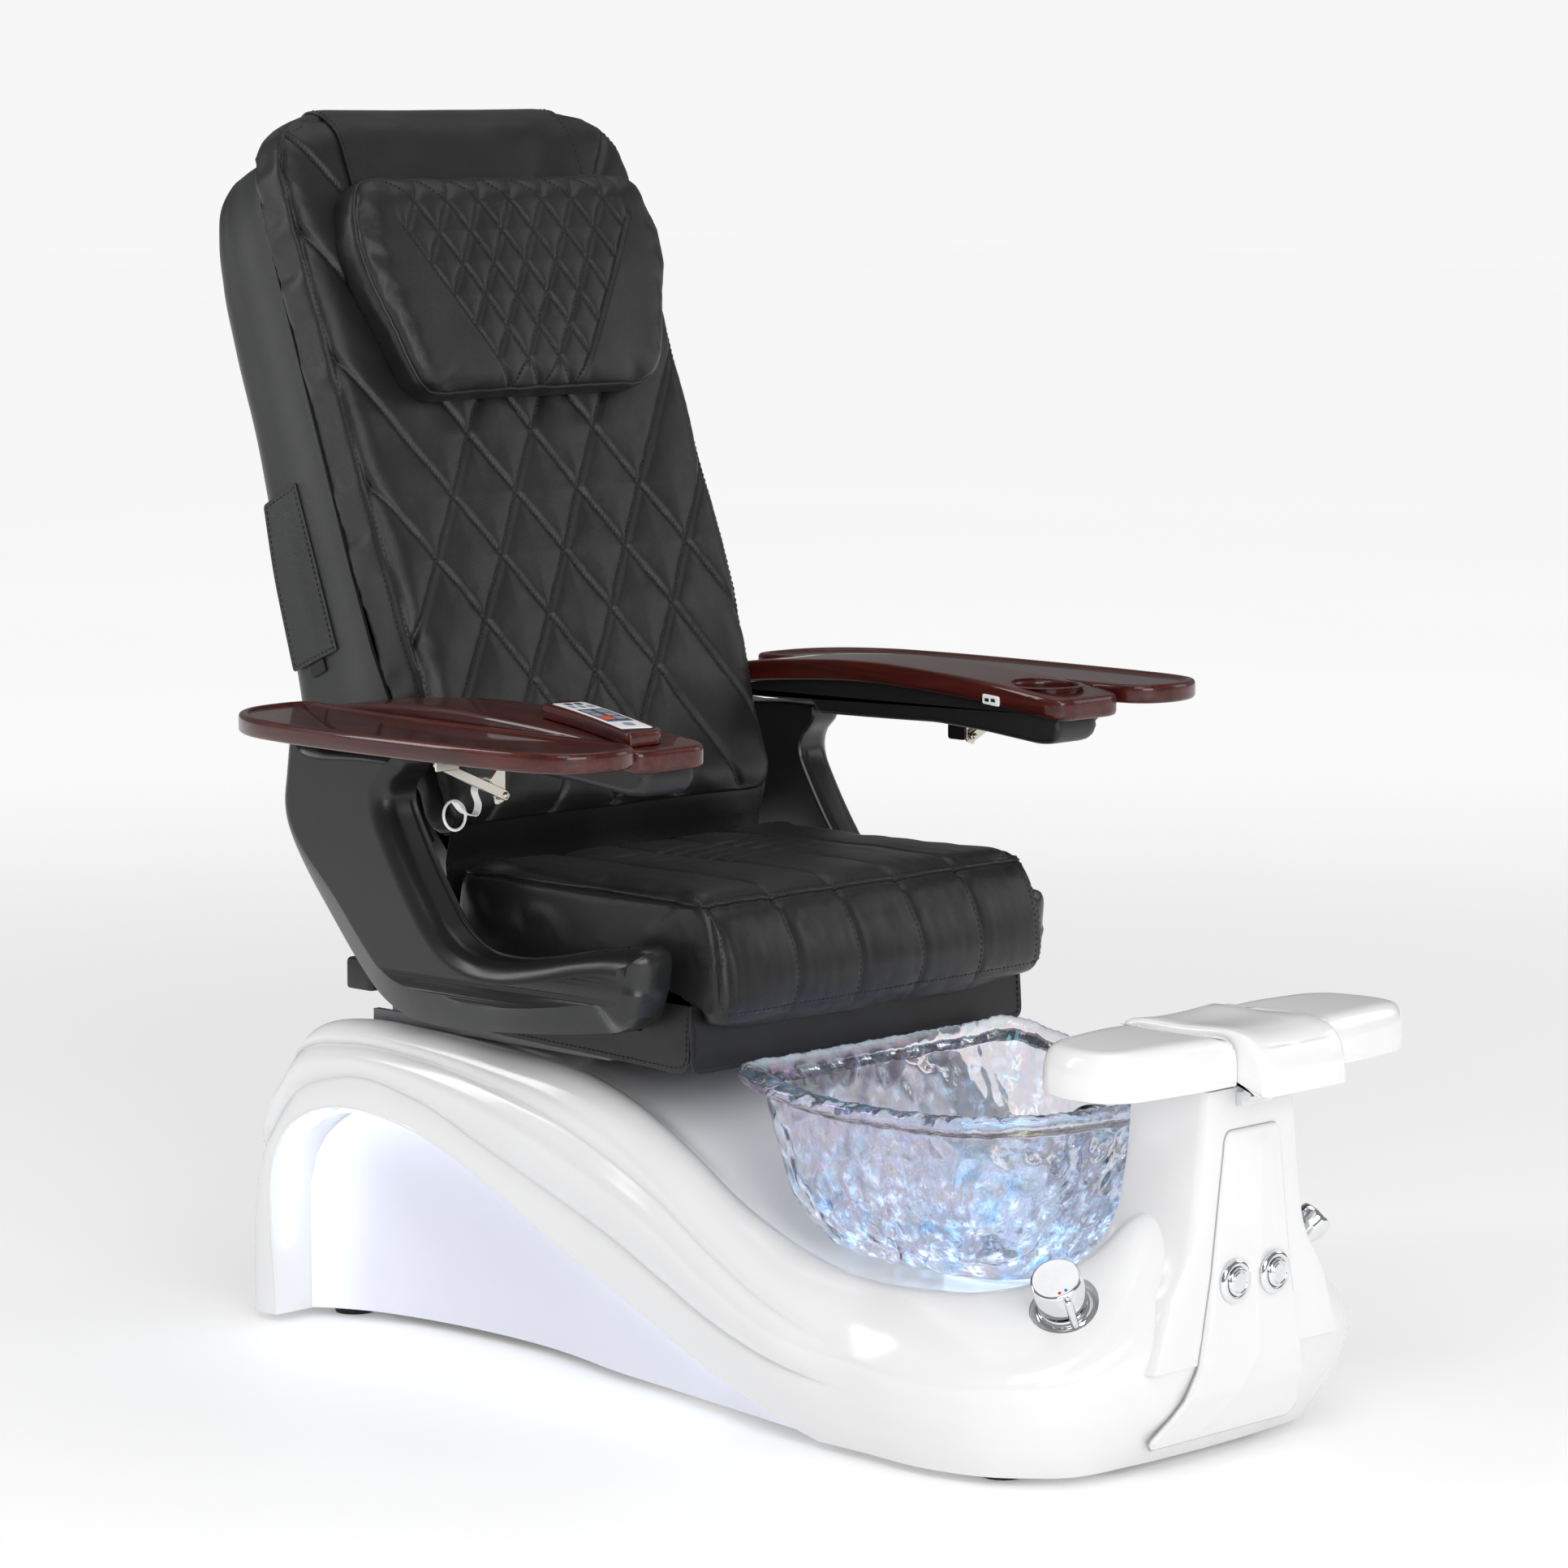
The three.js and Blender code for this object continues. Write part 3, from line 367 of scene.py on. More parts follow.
def sweep(name, path, section, up=(0, 0, 1), closed=False):
    """A 2-D section (side, top) carried along a path in design millimetres."""
    p = np.asarray(path, float)
    side, top = frames_along(p, up, closed)
    s = np.asarray(section, float)
    rings = [p[i] + s[:, :1] * side[i] + s[:, 1:] * top[i] for i in range(len(p))]
    if closed:
        n = len(s)
        points = np.vstack(rings)
        faces = quads(len(rings), n, wrap=True)
        last = (len(rings) - 1) * n
        faces += [(last + c, last + (c + 1) % n, (c + 1) % n, c) for c in range(n)]
        return tidy_mesh(new_object(name, points, faces), weld=0)
    return tidy_mesh(loft(name, rings), weld=1e-6)


def circle(radius, steps=10):
    a = np.linspace(0, 2 * math.pi, steps, endpoint=False)
    return np.stack([radius * np.cos(a), radius * np.sin(a)], axis=1)


def merge(name, parts):
    """One object from several."""
    bm = bmesh.new()
    for part in parts:
        bm.from_mesh(part.data)
    me = bpy.data.meshes.new(name)
    bm.to_mesh(me)
    bm.free()
    for part in parts:
        old = part.data
        bpy.data.objects.remove(part)
        bpy.data.meshes.remove(old)
    ob = bpy.data.objects.new(name, me)
    SCENE.collection.objects.link(ob)
    return ob


def boolean(ob, tool, operation):
    m = ob.modifiers.new("cut", "BOOLEAN")
    m.object, m.operation, m.solver = tool, operation, "EXACT"
    bake(ob)
    data = tool.data
    bpy.data.objects.remove(tool)
    bpy.data.meshes.remove(data)
    return ob


GAP = 25                        # a jump longer than this on a skin breaks a row of stitches


class Skin:
    """A finished piece as something to lay stitches on."""

    def __init__(self, ob):
        me = ob.data
        me.calc_loop_triangles()
        verts = [v.co.copy() for v in me.vertices]
        self.tree = BVHTree.FromPolygons(verts, [tuple(t.vertices) for t in me.loop_triangles])

    def drop(self, start, way):
        """Where a ray from a design point first meets the piece: design point and normal."""
        origin = Vector(to_row([start])[0])
        hit, normal, _, _ = self.tree.ray_cast(origin, Vector(way).normalized())
        if hit is None:
            return None
        p = np.array(hit) / MM
        p[1] -= SHIFT
        n = np.array(normal)
        return p, (n if n @ np.asarray(way, float) < 0 else -n)


def laid(skin, starts, way):
    """Drops a row of points on a skin; returns runs of (points, normals)."""
    runs, run = [], []
    for s in starts:
        hit = skin.drop(s, way)
        if hit is None or (run and np.linalg.norm(hit[0] - run[-1][0]) > GAP):
            if len(run) > 3:
                runs.append(run)
            run = []
        if hit is not None:
            run.append(hit)
    if len(run) > 3:
        runs.append(run)
    return [(np.array([h[0] for h in r]), np.array([h[1] for h in r])) for r in runs]


def stitch_mesh(name, runs, pitch=6.5, length=4.8, width=0.8, sink=0.05):
    """Short raised threads along runs of (points, normals)."""
    points, faces = [], []
    ring = circle(1.0, 6)
    for path, norm in runs:
        run = np.concatenate([[0], np.cumsum(np.linalg.norm(np.diff(path, axis=0), axis=1))])
        at = np.arange(pitch * 0.5, run[-1] - length, pitch)
        for s in at:
            ends = [np.array([np.interp(s + length * f, run, path[:, k]) for k in range(3)])
                    for f in (0.0, 0.2, 0.5, 0.8, 1.0)]
            n = np.array([np.interp(s, run, norm[:, k]) for k in range(3)])
            n /= np.linalg.norm(n) + 1e-9
            d = ends[-1] - ends[0]
            d /= np.linalg.norm(d) + 1e-9
            side = np.cross(d, n)
            base = len(points)
            for c, r, lift in zip(ends, (0.35, 0.9, 1.0, 0.9, 0.35), (-0.35, 0.2, 0.4, 0.2, -0.35)):
                middle = c + n * (lift - sink)
                for u, v in ring:
                    points.append(middle + (side * u + n * v * 0.8) * width * r)
            for k in range(4):
                for i in range(6):
                    j = (i + 1) % 6
                    faces.append((base + k * 6 + i, base + k * 6 + j, base + k * 6 + 6 + j, base + k * 6 + 6 + i))
            faces.append(tuple(base + i for i in reversed(range(6))))
            faces.append(tuple(base + 24 + i for i in range(6)))
    ob = new_object(name, np.array(points), faces)
    return tidy_mesh(ob, weld=0, outward=False)


def add_float(ob, name, values):
    attribute = ob.data.attributes.new(name, "FLOAT", "POINT")
    attribute.data.foreach_set("value", np.asarray(values, np.float32))


def inflate(ob, voxel, cap, pressure=4.0, frames=20):
    """Pads a closed form out with a short cloth simulation, no point moving further than cap (mm)."""
    m = ob.modifiers.new("remesh", "REMESH")
    m.mode, m.voxel_size, m.use_smooth_shade = "VOXEL", voxel * MM, True
    bake(ob)
    start = coords(ob)
    cloth = ob.modifiers.new("cloth", "CLOTH")
    s = cloth.settings
    s.use_pressure = True
    s.uniform_pressure_force = pressure
    s.effector_weights.gravity = 0
    s.quality = 5
    s.mass = 0.3
    cloth.point_cache.frame_start, cloth.point_cache.frame_end = 1, frames
    for f in range(1, frames + 1):
        SCENE.frame_set(f)
    bake(ob)
    SCENE.frame_set(1)
    move = coords(ob) - start
    size = np.linalg.norm(move, axis=1)
    move *= (np.minimum(size, cap) / (size + 1e-9))[:, None]
    set_coords(ob, start + move)
    m = ob.modifiers.new("smooth", "SMOOTH")
    m.factor, m.iterations = 0.5, 3
    m = ob.modifiers.new("subdivide", "SUBSURF")
    m.levels = m.render_levels = 1
    bake(ob)
    return tidy_mesh(ob, weld=0, angle=180, outward=False)


# ------------------------------------------------------------------ materials
def shader(name, **values):
    """A Principled material; returns it with its node tree and shader."""
    mat = bpy.data.materials.new(name)
    mat.use_nodes = True
    tree = mat.node_tree
    bsdf = tree.nodes["Principled BSDF"]
    for key, value in values.items():
        socket = bsdf.inputs[key.replace("_", " ")]
        socket.default_value = (*value, 1.0) if isinstance(value, tuple) and len(value) == 3 else value
    return mat, tree, bsdf


def texture(tree, kind, scale, stretch=None, **values):
    """A noise, Voronoi or wave texture in object space."""
    where = tree.nodes.new("ShaderNodeTexCoord").outputs["Object"]
    if stretch:
        m = tree.nodes.new("ShaderNodeMapping")
        m.inputs["Scale"].default_value = stretch
        tree.links.new(where, m.inputs["Vector"])
        where = m.outputs["Vector"]
    node = tree.nodes.new(kind)
    tree.links.new(where, node.inputs["Vector"])
    node.inputs["Scale"].default_value = scale
    for key, value in values.items():
        node.inputs[key].default_value = value
    return node


def ramp(tree, source, stops):
    node = tree.nodes.new("ShaderNodeValToRGB")
    while len(node.color_ramp.elements) < len(stops):
        node.color_ramp.elements.new(0.5)
    for element, (place, colour) in zip(node.color_ramp.elements, stops):
        element.position = place
        element.color = (*colour, 1.0) if isinstance(colour, tuple) else (colour,) * 3 + (1.0,)
    tree.links.new(source, node.inputs["Fac"])
    return node.outputs["Color"]


def to_range(tree, source, low, high):
    node = tree.nodes.new("ShaderNodeMapRange")
    node.inputs["To Min"].default_value = low
    node.inputs["To Max"].default_value = high
    tree.links.new(source, node.inputs["Value"])
    return node.outputs["Result"]


def multiply(tree, sockets):
    """The product of several sockets."""
    product = sockets[0]
    for socket in sockets[1:]:
        node = tree.nodes.new("ShaderNodeMath")
        node.operation = "MULTIPLY"
        tree.links.new(product, node.inputs[0])
        tree.links.new(socket, node.inputs[1])
        product = node.outputs["Value"]
    return product


def bump(tree, bsdf, layers, distance=0.001):
    """Chained bumps: (height socket, strength)."""
    previous = None
    for height, strength in layers:
        node = tree.nodes.new("ShaderNodeBump")
        node.inputs["Strength"].default_value = strength
        node.inputs["Distance"].default_value = distance
        tree.links.new(height, node.inputs["Height"])
        if previous:
            tree.links.new(previous, node.inputs["Normal"])
        previous = node.outputs["Normal"]
    tree.links.new(previous, bsdf.inputs["Normal"])


def gelcoat(name, colour, rough=0.16):
    mat, tree, bsdf = shader(name, Coat_Weight=0.35, Coat_Roughness=0.13, IOR=1.45)
    cloud = texture(tree, "ShaderNodeTexNoise", 3.0, Detail=3.0)
    tint = tuple(c * 0.965 for c in colour)
    tree.links.new(ramp(tree, cloud.outputs["Fac"], [(0.3, tint), (0.7, colour)]), bsdf.inputs["Base Color"])
    tree.links.new(to_range(tree, cloud.outputs["Fac"], rough * 0.85, rough * 1.2), bsdf.inputs["Roughness"])
    peel = texture(tree, "ShaderNodeTexNoise", 120.0, Detail=2.0)
    bump(tree, bsdf, [(peel.outputs["Fac"], 0.02)])
    return mat


PAINTED_DECK_LIGHT, PAINTED_CRYSTAL_LIGHT = 0.23, 1.6     # the strongest painted light: emission on the deck and in the bowl's glass, neither of them a lamp


def paint_deck_light(mat):
    """Painted light on the deck round the bowl: an emission that stands in for the bowl's light on the deck and lifts
    the deck's shade, a soft glow that fades out before the crest.
    """
    tree = mat.node_tree
    bsdf = tree.nodes["Principled BSDF"]
    place = tree.nodes.new("ShaderNodeTexCoord")
    axes = tree.nodes.new("ShaderNodeSeparateXYZ")
    tree.links.new(place.outputs["Object"], axes.inputs["Vector"])
    width = tree.nodes.new("ShaderNodeMath")
    width.operation = "ABSOLUTE"
    tree.links.new(axes.outputs["X"], width.inputs[0])
    falls = []
    for source, far, near in ((width.outputs["Value"], 0.222, 0.165), (axes.outputs["Y"], 0.14, 0.0),
                              (axes.outputs["Y"], -0.47, -0.40), (axes.outputs["Z"], 0.33, 0.27)):
        part = tree.nodes.new("ShaderNodeMapRange")
        part.interpolation_type = "SMOOTHSTEP"
        part.inputs["From Min"].default_value, part.inputs["From Max"].default_value = far, near
        tree.links.new(source, part.inputs["Value"])
        falls.append(part.outputs["Result"])
    bsdf.inputs["Emission Color"].default_value = (0.93, 0.96, 1.0, 1.0)
    tree.links.new(to_range(tree, multiply(tree, falls), 0.0, PAINTED_DECK_LIGHT), bsdf.inputs["Emission Strength"])


def leather(name, colour, rough=0.42, grain=1.0):
    mat, tree, bsdf = shader(name, IOR=1.5, Specular_IOR_Level=0.46, Sheen_Weight=0.02, Sheen_Roughness=0.4)
    cloud = texture(tree, "ShaderNodeTexNoise", 9.0, Detail=4.0)
    light = tuple(min(1, c * 1.35 + 0.002) for c in colour)
    tree.links.new(ramp(tree, cloud.outputs["Fac"], [(0.32, colour), (0.7, light)]), bsdf.inputs["Base Color"])
    tree.links.new(to_range(tree, cloud.outputs["Fac"], rough * 0.86, rough * 1.14), bsdf.inputs["Roughness"])
    cells = texture(tree, "ShaderNodeTexVoronoi", 620.0, Randomness=1.0)
    cells.feature = "DISTANCE_TO_EDGE"
    pebble = ramp(tree, cells.outputs["Distance"], [(0.0, 0.0), (0.22, 1.0)])
    fine = texture(tree, "ShaderNodeTexNoise", 1500.0, Detail=2.0)
    broad = texture(tree, "ShaderNodeTexNoise", 60.0, Detail=3.0)
    bump(tree, bsdf, [(broad.outputs["Fac"], 0.12 * grain), (pebble, 0.13 * grain), (fine.outputs["Fac"], 0.1 * grain)])
    return mat


def plastic(name, colour, rough=0.36, grain=0.1):
    mat, tree, bsdf = shader(name, IOR=1.5)
    cloud = texture(tree, "ShaderNodeTexNoise", 5.0, Detail=4.0)
    light = tuple(min(1, c * 1.2) for c in colour)
    tree.links.new(ramp(tree, cloud.outputs["Fac"], [(0.3, colour), (0.7, light)]), bsdf.inputs["Base Color"])
    tree.links.new(to_range(tree, cloud.outputs["Fac"], rough * 0.9, rough * 1.12), bsdf.inputs["Roughness"])
    fine = texture(tree, "ShaderNodeTexNoise", 1300.0, Detail=2.0)
    bump(tree, bsdf, [(fine.outputs["Fac"], grain)])
    return mat


def lacquer(name):
    mat, tree, bsdf = shader(name, Coat_Weight=0.55, Coat_Roughness=0.02, Roughness=0.34, IOR=1.35)
    bands = texture(tree, "ShaderNodeTexNoise", 9.0, stretch=(14.0, 0.9, 14.0), Detail=6.0, Distortion=0.35)
    pores = texture(tree, "ShaderNodeTexNoise", 60.0, stretch=(16.0, 0.6, 16.0), Detail=3.0)
    wood = ramp(tree, bands.outputs["Fac"], [(0.28, (0.026, 0.0028, 0.0016)), (0.5, (0.060, 0.0062, 0.0036)),
                                             (0.75, (0.098, 0.012, 0.0065))])
    dark = ramp(tree, pores.outputs["Fac"], [(0.36, 0.6), (0.5, 1.0)])
    mix = tree.nodes.new("ShaderNodeMix")
    mix.data_type, mix.blend_type = "RGBA", "MULTIPLY"
    mix.inputs["Factor"].default_value = 0.6
    tree.links.new(wood, mix.inputs["A"])
    tree.links.new(dark, mix.inputs["B"])
    tree.links.new(mix.outputs["Result"], bsdf.inputs["Base Color"])
    bump(tree, bsdf, [(pores.outputs["Fac"], 0.02)])
    return mat


def metal(name, colour, rough, streak=0.03):
    mat, tree, bsdf = shader(name, Metallic=1.0)
    cloud = texture(tree, "ShaderNodeTexNoise", 40.0, Detail=3.0)
    dim = tuple(c * 0.93 for c in colour)
    tree.links.new(ramp(tree, cloud.outputs["Fac"], [(0.35, dim), (0.65, colour)]), bsdf.inputs["Base Color"])
    tree.links.new(to_range(tree, cloud.outputs["Fac"], rough, rough + streak), bsdf.inputs["Roughness"])
    return mat


def crystal(name):
    mat, tree, bsdf = shader(name, Transmission_Weight=0.97, Roughness=0.02, IOR=1.42,
                             Thin_Film_Thickness=380.0, Thin_Film_IOR=1.6, Specular_IOR_Level=0.7)
    cells = texture(tree, "ShaderNodeTexVoronoi", 55.0, Randomness=1.0)
    cells.feature = "SMOOTH_F1"
    small = texture(tree, "ShaderNodeTexNoise", 150.0, Detail=3.0, Distortion=0.6)
    bump(tree, bsdf, [(cells.outputs["Distance"], 0.6), (small.outputs["Fac"], 0.12)], distance=0.002)
    hue = texture(tree, "ShaderNodeTexNoise", 26.0, Detail=3.0, Distortion=1.2)
    tint = ramp(tree, hue.outputs["Fac"], [(0.30, (0.60, 0.77, 0.94)), (0.42, (0.90, 0.95, 1.0)),
                                           (0.5, (0.90, 0.84, 0.98)), (0.58, (0.98, 0.94, 0.90)),
                                           (0.7, (0.70, 0.87, 0.97))])
    tree.links.new(tint, bsdf.inputs["Base Color"])
    # painted light: emission in the glass, strongest low in the bowl (the glow attribute) and broken into glints over
    # the dents; it stands in for the LED ring's light and for refracted highlights
    low = tree.nodes.new("ShaderNodeAttribute")
    low.attribute_name = "glow"
    painted_glint_noise = texture(tree, "ShaderNodeTexNoise", 85.0, Detail=4.0, Distortion=1.8)
    painted_glints = ramp(tree, painted_glint_noise.outputs["Fac"], [(0.44, 0.0), (0.60, 1.0)])
    core = ramp(tree, cells.outputs["Distance"], [(0.12, 1.0), (0.40, 0.0)])
    product = multiply(tree, (low.outputs["Fac"], painted_glints, core))
    light = ramp(tree, hue.outputs["Fac"], [(0.35, (0.12, 0.42, 1.0)), (0.5, (0.45, 0.8, 1.0)),
                                            (0.62, (0.75, 0.75, 1.0))])
    tree.links.new(light, bsdf.inputs["Emission Color"])
    tree.links.new(to_range(tree, product, 0.0, PAINTED_CRYSTAL_LIGHT), bsdf.inputs["Emission Strength"])
    return mat


def lit_panel(name):
    mat, tree, bsdf = shader(name, Base_Color=(0.68, 0.68, 0.75), Roughness=0.3, Coat_Weight=0.25)
    edge = tree.nodes.new("ShaderNodeAttribute")
    edge.attribute_name = "glow"
    colour = ramp(tree, edge.outputs["Fac"], [(0.0, (0.80, 0.79, 0.95)), (0.4, (0.82, 0.86, 1.0)),
                                              (1.0, (0.72, 0.84, 1.0))])
    tree.links.new(colour, bsdf.inputs["Emission Color"])
    tree.links.new(to_range(tree, edge.outputs["Fac"], 0.05, 0.62), bsdf.inputs["Emission Strength"])
    soft = texture(tree, "ShaderNodeTexNoise", 30.0, Detail=2.0)
    bump(tree, bsdf, [(soft.outputs["Fac"], 0.01)])
    return mat


WHITE = gelcoat("white gelcoat", (0.82, 0.82, 0.825))
# a second copy of the white gelcoat for the shell, the same colour, with painted light (emission) on its deck
SHELL_WHITE_PAINTED_LIGHT = gelcoat("shell gelcoat with painted deck light", (0.82, 0.82, 0.825))
paint_deck_light(SHELL_WHITE_PAINTED_LIGHT)
PAD_WHITE = gelcoat("footrest gelcoat", (0.83, 0.83, 0.835), 0.13)
VINYL = leather("black vinyl", (0.0085, 0.0085, 0.0088), 0.37)
SHELL_VINYL = leather("shell vinyl", (0.0150, 0.0160, 0.0162), 0.36, 1.2)
MOULDING = plastic("satin black moulding", (0.0125, 0.0130, 0.0130), 0.27, 0.05)
TROUGH = plastic("grained black moulding", (0.0100, 0.0102, 0.0104), 0.42, 0.14)
WOOD = lacquer("burgundy lacquered wood")
CHROME = metal("polished chrome", (0.86, 0.87, 0.88), 0.05)
NICKEL = metal("nickel plate", (0.72, 0.68, 0.6), 0.2, 0.1)
STEEL = metal("painted steel", (0.2, 0.2, 0.21), 0.42, 0.1)
RUBBER = plastic("foot rubber", (0.012, 0.012, 0.012), 0.7, 0.2)
DARK = plastic("shadow black", (0.006, 0.006, 0.006), 0.6, 0.1)
THREAD = leather("black thread", (0.010, 0.010, 0.011), 0.6, 0.4)
NYLON = plastic("white nylon", (0.8, 0.8, 0.79), 0.35, 0.05)
GLASS = crystal("hammered crystal")
LIT = lit_panel("lit panel")
LED = shader("led strip", Base_Color=(0.9, 0.95, 1.0), Emission_Color=(0.72, 0.85, 1.0), Emission_Strength=4.0,
             Roughness=0.4)[0]
LED_DIM = shader("bowl led ring", Base_Color=(0.9, 0.95, 1.0), Emission_Color=(0.62, 0.80, 1.0),
                 Emission_Strength=0.8, Roughness=0.4)[0]
SCREEN_WHITE = plastic("remote label white", (0.78, 0.78, 0.8), 0.12, 0.01)
SCREEN_BLUE = plastic("remote tile blue grey", (0.06, 0.09, 0.14), 0.1, 0.01)
SCREEN_GREY = plastic("remote tile grey", (0.28, 0.3, 0.34), 0.1, 0.01)
SCREEN_WARM = plastic("remote tile orange", (0.75, 0.1, 0.02), 0.1, 0.01)
RED = plastic("red mark", (0.6, 0.02, 0.02), 0.2, 0.01)
BLUE = plastic("blue mark", (0.02, 0.15, 0.6), 0.2, 0.01)

NODE_LOOK = {
    "led_strip_left": LED, "led_strip_right": LED, "bowl_light_ring": LED_DIM, "base_frame": STEEL,
    "levelling_foot_front_left": RUBBER, "levelling_foot_front_right": RUBBER,
    "levelling_foot_rear_left": RUBBER, "levelling_foot_rear_right": RUBBER,
    "control_box": TROUGH, "drain_pump": TROUGH, "slide_rail_left": STEEL, "slide_rail_right": STEEL,
    "slide_actuator": TROUGH, "footrest_hinge": CHROME, "jet_impeller": NYLON, "mixer_cartridge": STEEL,
    "seat_pan": MOULDING, "slide_rod": CHROME, "recline_actuator": TROUGH, "back_frame": STEEL,
    "massage_carriage": TROUGH, "massage_rollers": RUBBER,
}
for node_name, look in NODE_LOOK.items():
    node = NODES[node_name]
    node.data.materials.clear()
    node.data.materials.append(look)


# ------------------------------------------------------------------ base shell
# Half sections round the base, from the middle of the back to the middle of the front. Each holds, from
# the floor edge up and in: floor edge, low flank, lower crease, upper crease, crest, inner edge and middle
# line, as (half width, y, z).
REAR_MIDDLE = (0, 300, 356)
FLOOR = 10
SECTIONS = np.array([
    [(0, 521, FLOOR), (0, 515, 90), (0, 500, 190), (0, 462, 280), (0, 405, 328), (0, 350, 352), REAR_MIDDLE],
    [(120, 521, FLOOR), (120, 515, 90), (120, 500, 190), (120, 462, 280), (118, 405, 328), (100, 350, 352),
     REAR_MIDDLE],
    [(218, 520, FLOOR), (218, 514, 90), (218, 499, 190), (216, 460, 280), (207, 403, 328), (168, 348, 352),
     REAR_MIDDLE],
    [(242, 506, FLOOR), (245, 498, 90), (246, 478, 200), (243, 440, 283), (231, 392, 331), (186, 340, 352),
     (0, 282, 356)],
    [(243, 450, FLOOR), (248, 446, 100), (251, 430, 262), (250, 408, 318), (231, 367, 346), (190, 330, 353),
     (0, 262, 356)],
    [(242, 340, FLOOR), (248, 340, 110), (252, 340, 297), (251, 335, 334), (231, 320, 354), (190, 310, 356),
     (0, 240, 356)],
    [(242, 230, FLOOR), (248, 230, 110), (252, 230, 287), (252, 230, 333), (231, 230, 353), (190, 230, 356),
     (0, 200, 356)],
    [(243, 110, FLOOR), (248, 110, 100), (252, 110, 246), (253, 110, 317), (231, 110, 347), (190, 110, 350),
     (0, 110, 350)],
    [(243, 10, FLOOR), (249, 10, 95), (253, 10, 211), (255, 10, 293), (232, 10, 339), (190, 0, 340),
     (0, 20, 340)],
    [(243, -80, FLOOR), (251, -80, 85), (257, -80, 180), (259, -80, 262), (233, -80, 315), (185, -75, 312),
     (0, -55, 312)],
    [(244, -160, FLOOR), (254, -160, 72), (263, -160, 148), (267, -160, 231), (235, -160, 280),
     (178, -150, 258), (0, -115, 246)],
    [(245, -240, FLOOR), (258, -240, 58), (271, -240, 118), (275, -240, 190), (234, -240, 232),
     (168, -235, 196), (0, -185, 180)],
    [(246, -330, FLOOR), (264, -330, 48), (279, -330, 95), (284, -330, 152), (231, -330, 193),
     (172, -330, 168), (0, -280, 157)],
    [(249, -430, FLOOR), (270, -430, 42), (286, -430, 82), (289, -430, 125), (234, -420, 180),
     (176, -410, 165), (0, -370, 155)],
    [(254, -520, FLOOR), (274, -520, 42), (290, -522, 78), (292, -522, 115), (226, -500, 180),
     (168, -480, 166), (0, -440, 155)],
    [(237, -590, FLOOR), (258, -598, 42), (274, -604, 78), (277, -605, 114), (202, -545, 181),
     (140, -530, 168), (0, -500, 155)],
    [(211, -626, FLOOR), (230, -640, 42), (245, -652, 80), (247, -654, 119), (168, -580, 190),
     (108, -560, 172), (0, -530, 157)],
    [(181, -652, FLOOR), (196, -668, 42), (206, -684, 82), (203, -690, 129), (130, -622, 216),
     (78, -580, 184), (0, -552, 162)],
    [(97, -665, FLOOR), (110, -690, 42), (118, -713, 85), (112, -722, 160), (88, -660, 262),
     (50, -600, 205), (0, -580, 190)],
    [(0, -669, FLOOR), (0, -695, 42), (0, -721, 85), (0, -727, 160), (0, -700, 270), (0, -620, 230),
     (0, -590, 200)],
], float)
STATIONS = 220
SIDE_BULGE = 11.0               # how far the bands between the creases swell
BANDS = (9, 9, 15, 13, 10, 13)  # steps from each rail of a half section to the next
FINE = 60                       # points of the smooth curve from one rail to the next


def profile_through(rails):
    """One half section (7 rail points) filled in along a smooth curve."""
    step = np.sqrt(np.linalg.norm(np.diff(rails, axis=0), axis=1) + 1e-6)
    knots = np.concatenate([[0], np.cumsum(step)])
    places = np.linspace(0, len(BANDS), 1 + len(BANDS) * FINE)
    curve = hermite(knots, rails, np.interp(places, np.arange(len(rails)), knots))
    at = np.concatenate([np.linspace(k * FINE, (k + 1) * FINE, n + 1)[:-1] for k, n in enumerate(BANDS)])
    filled = np.stack([np.interp(at, np.arange(len(curve)), curve[:, c]) for c in range(3)], axis=1)
    return np.vstack([filled, rails[-1:]])


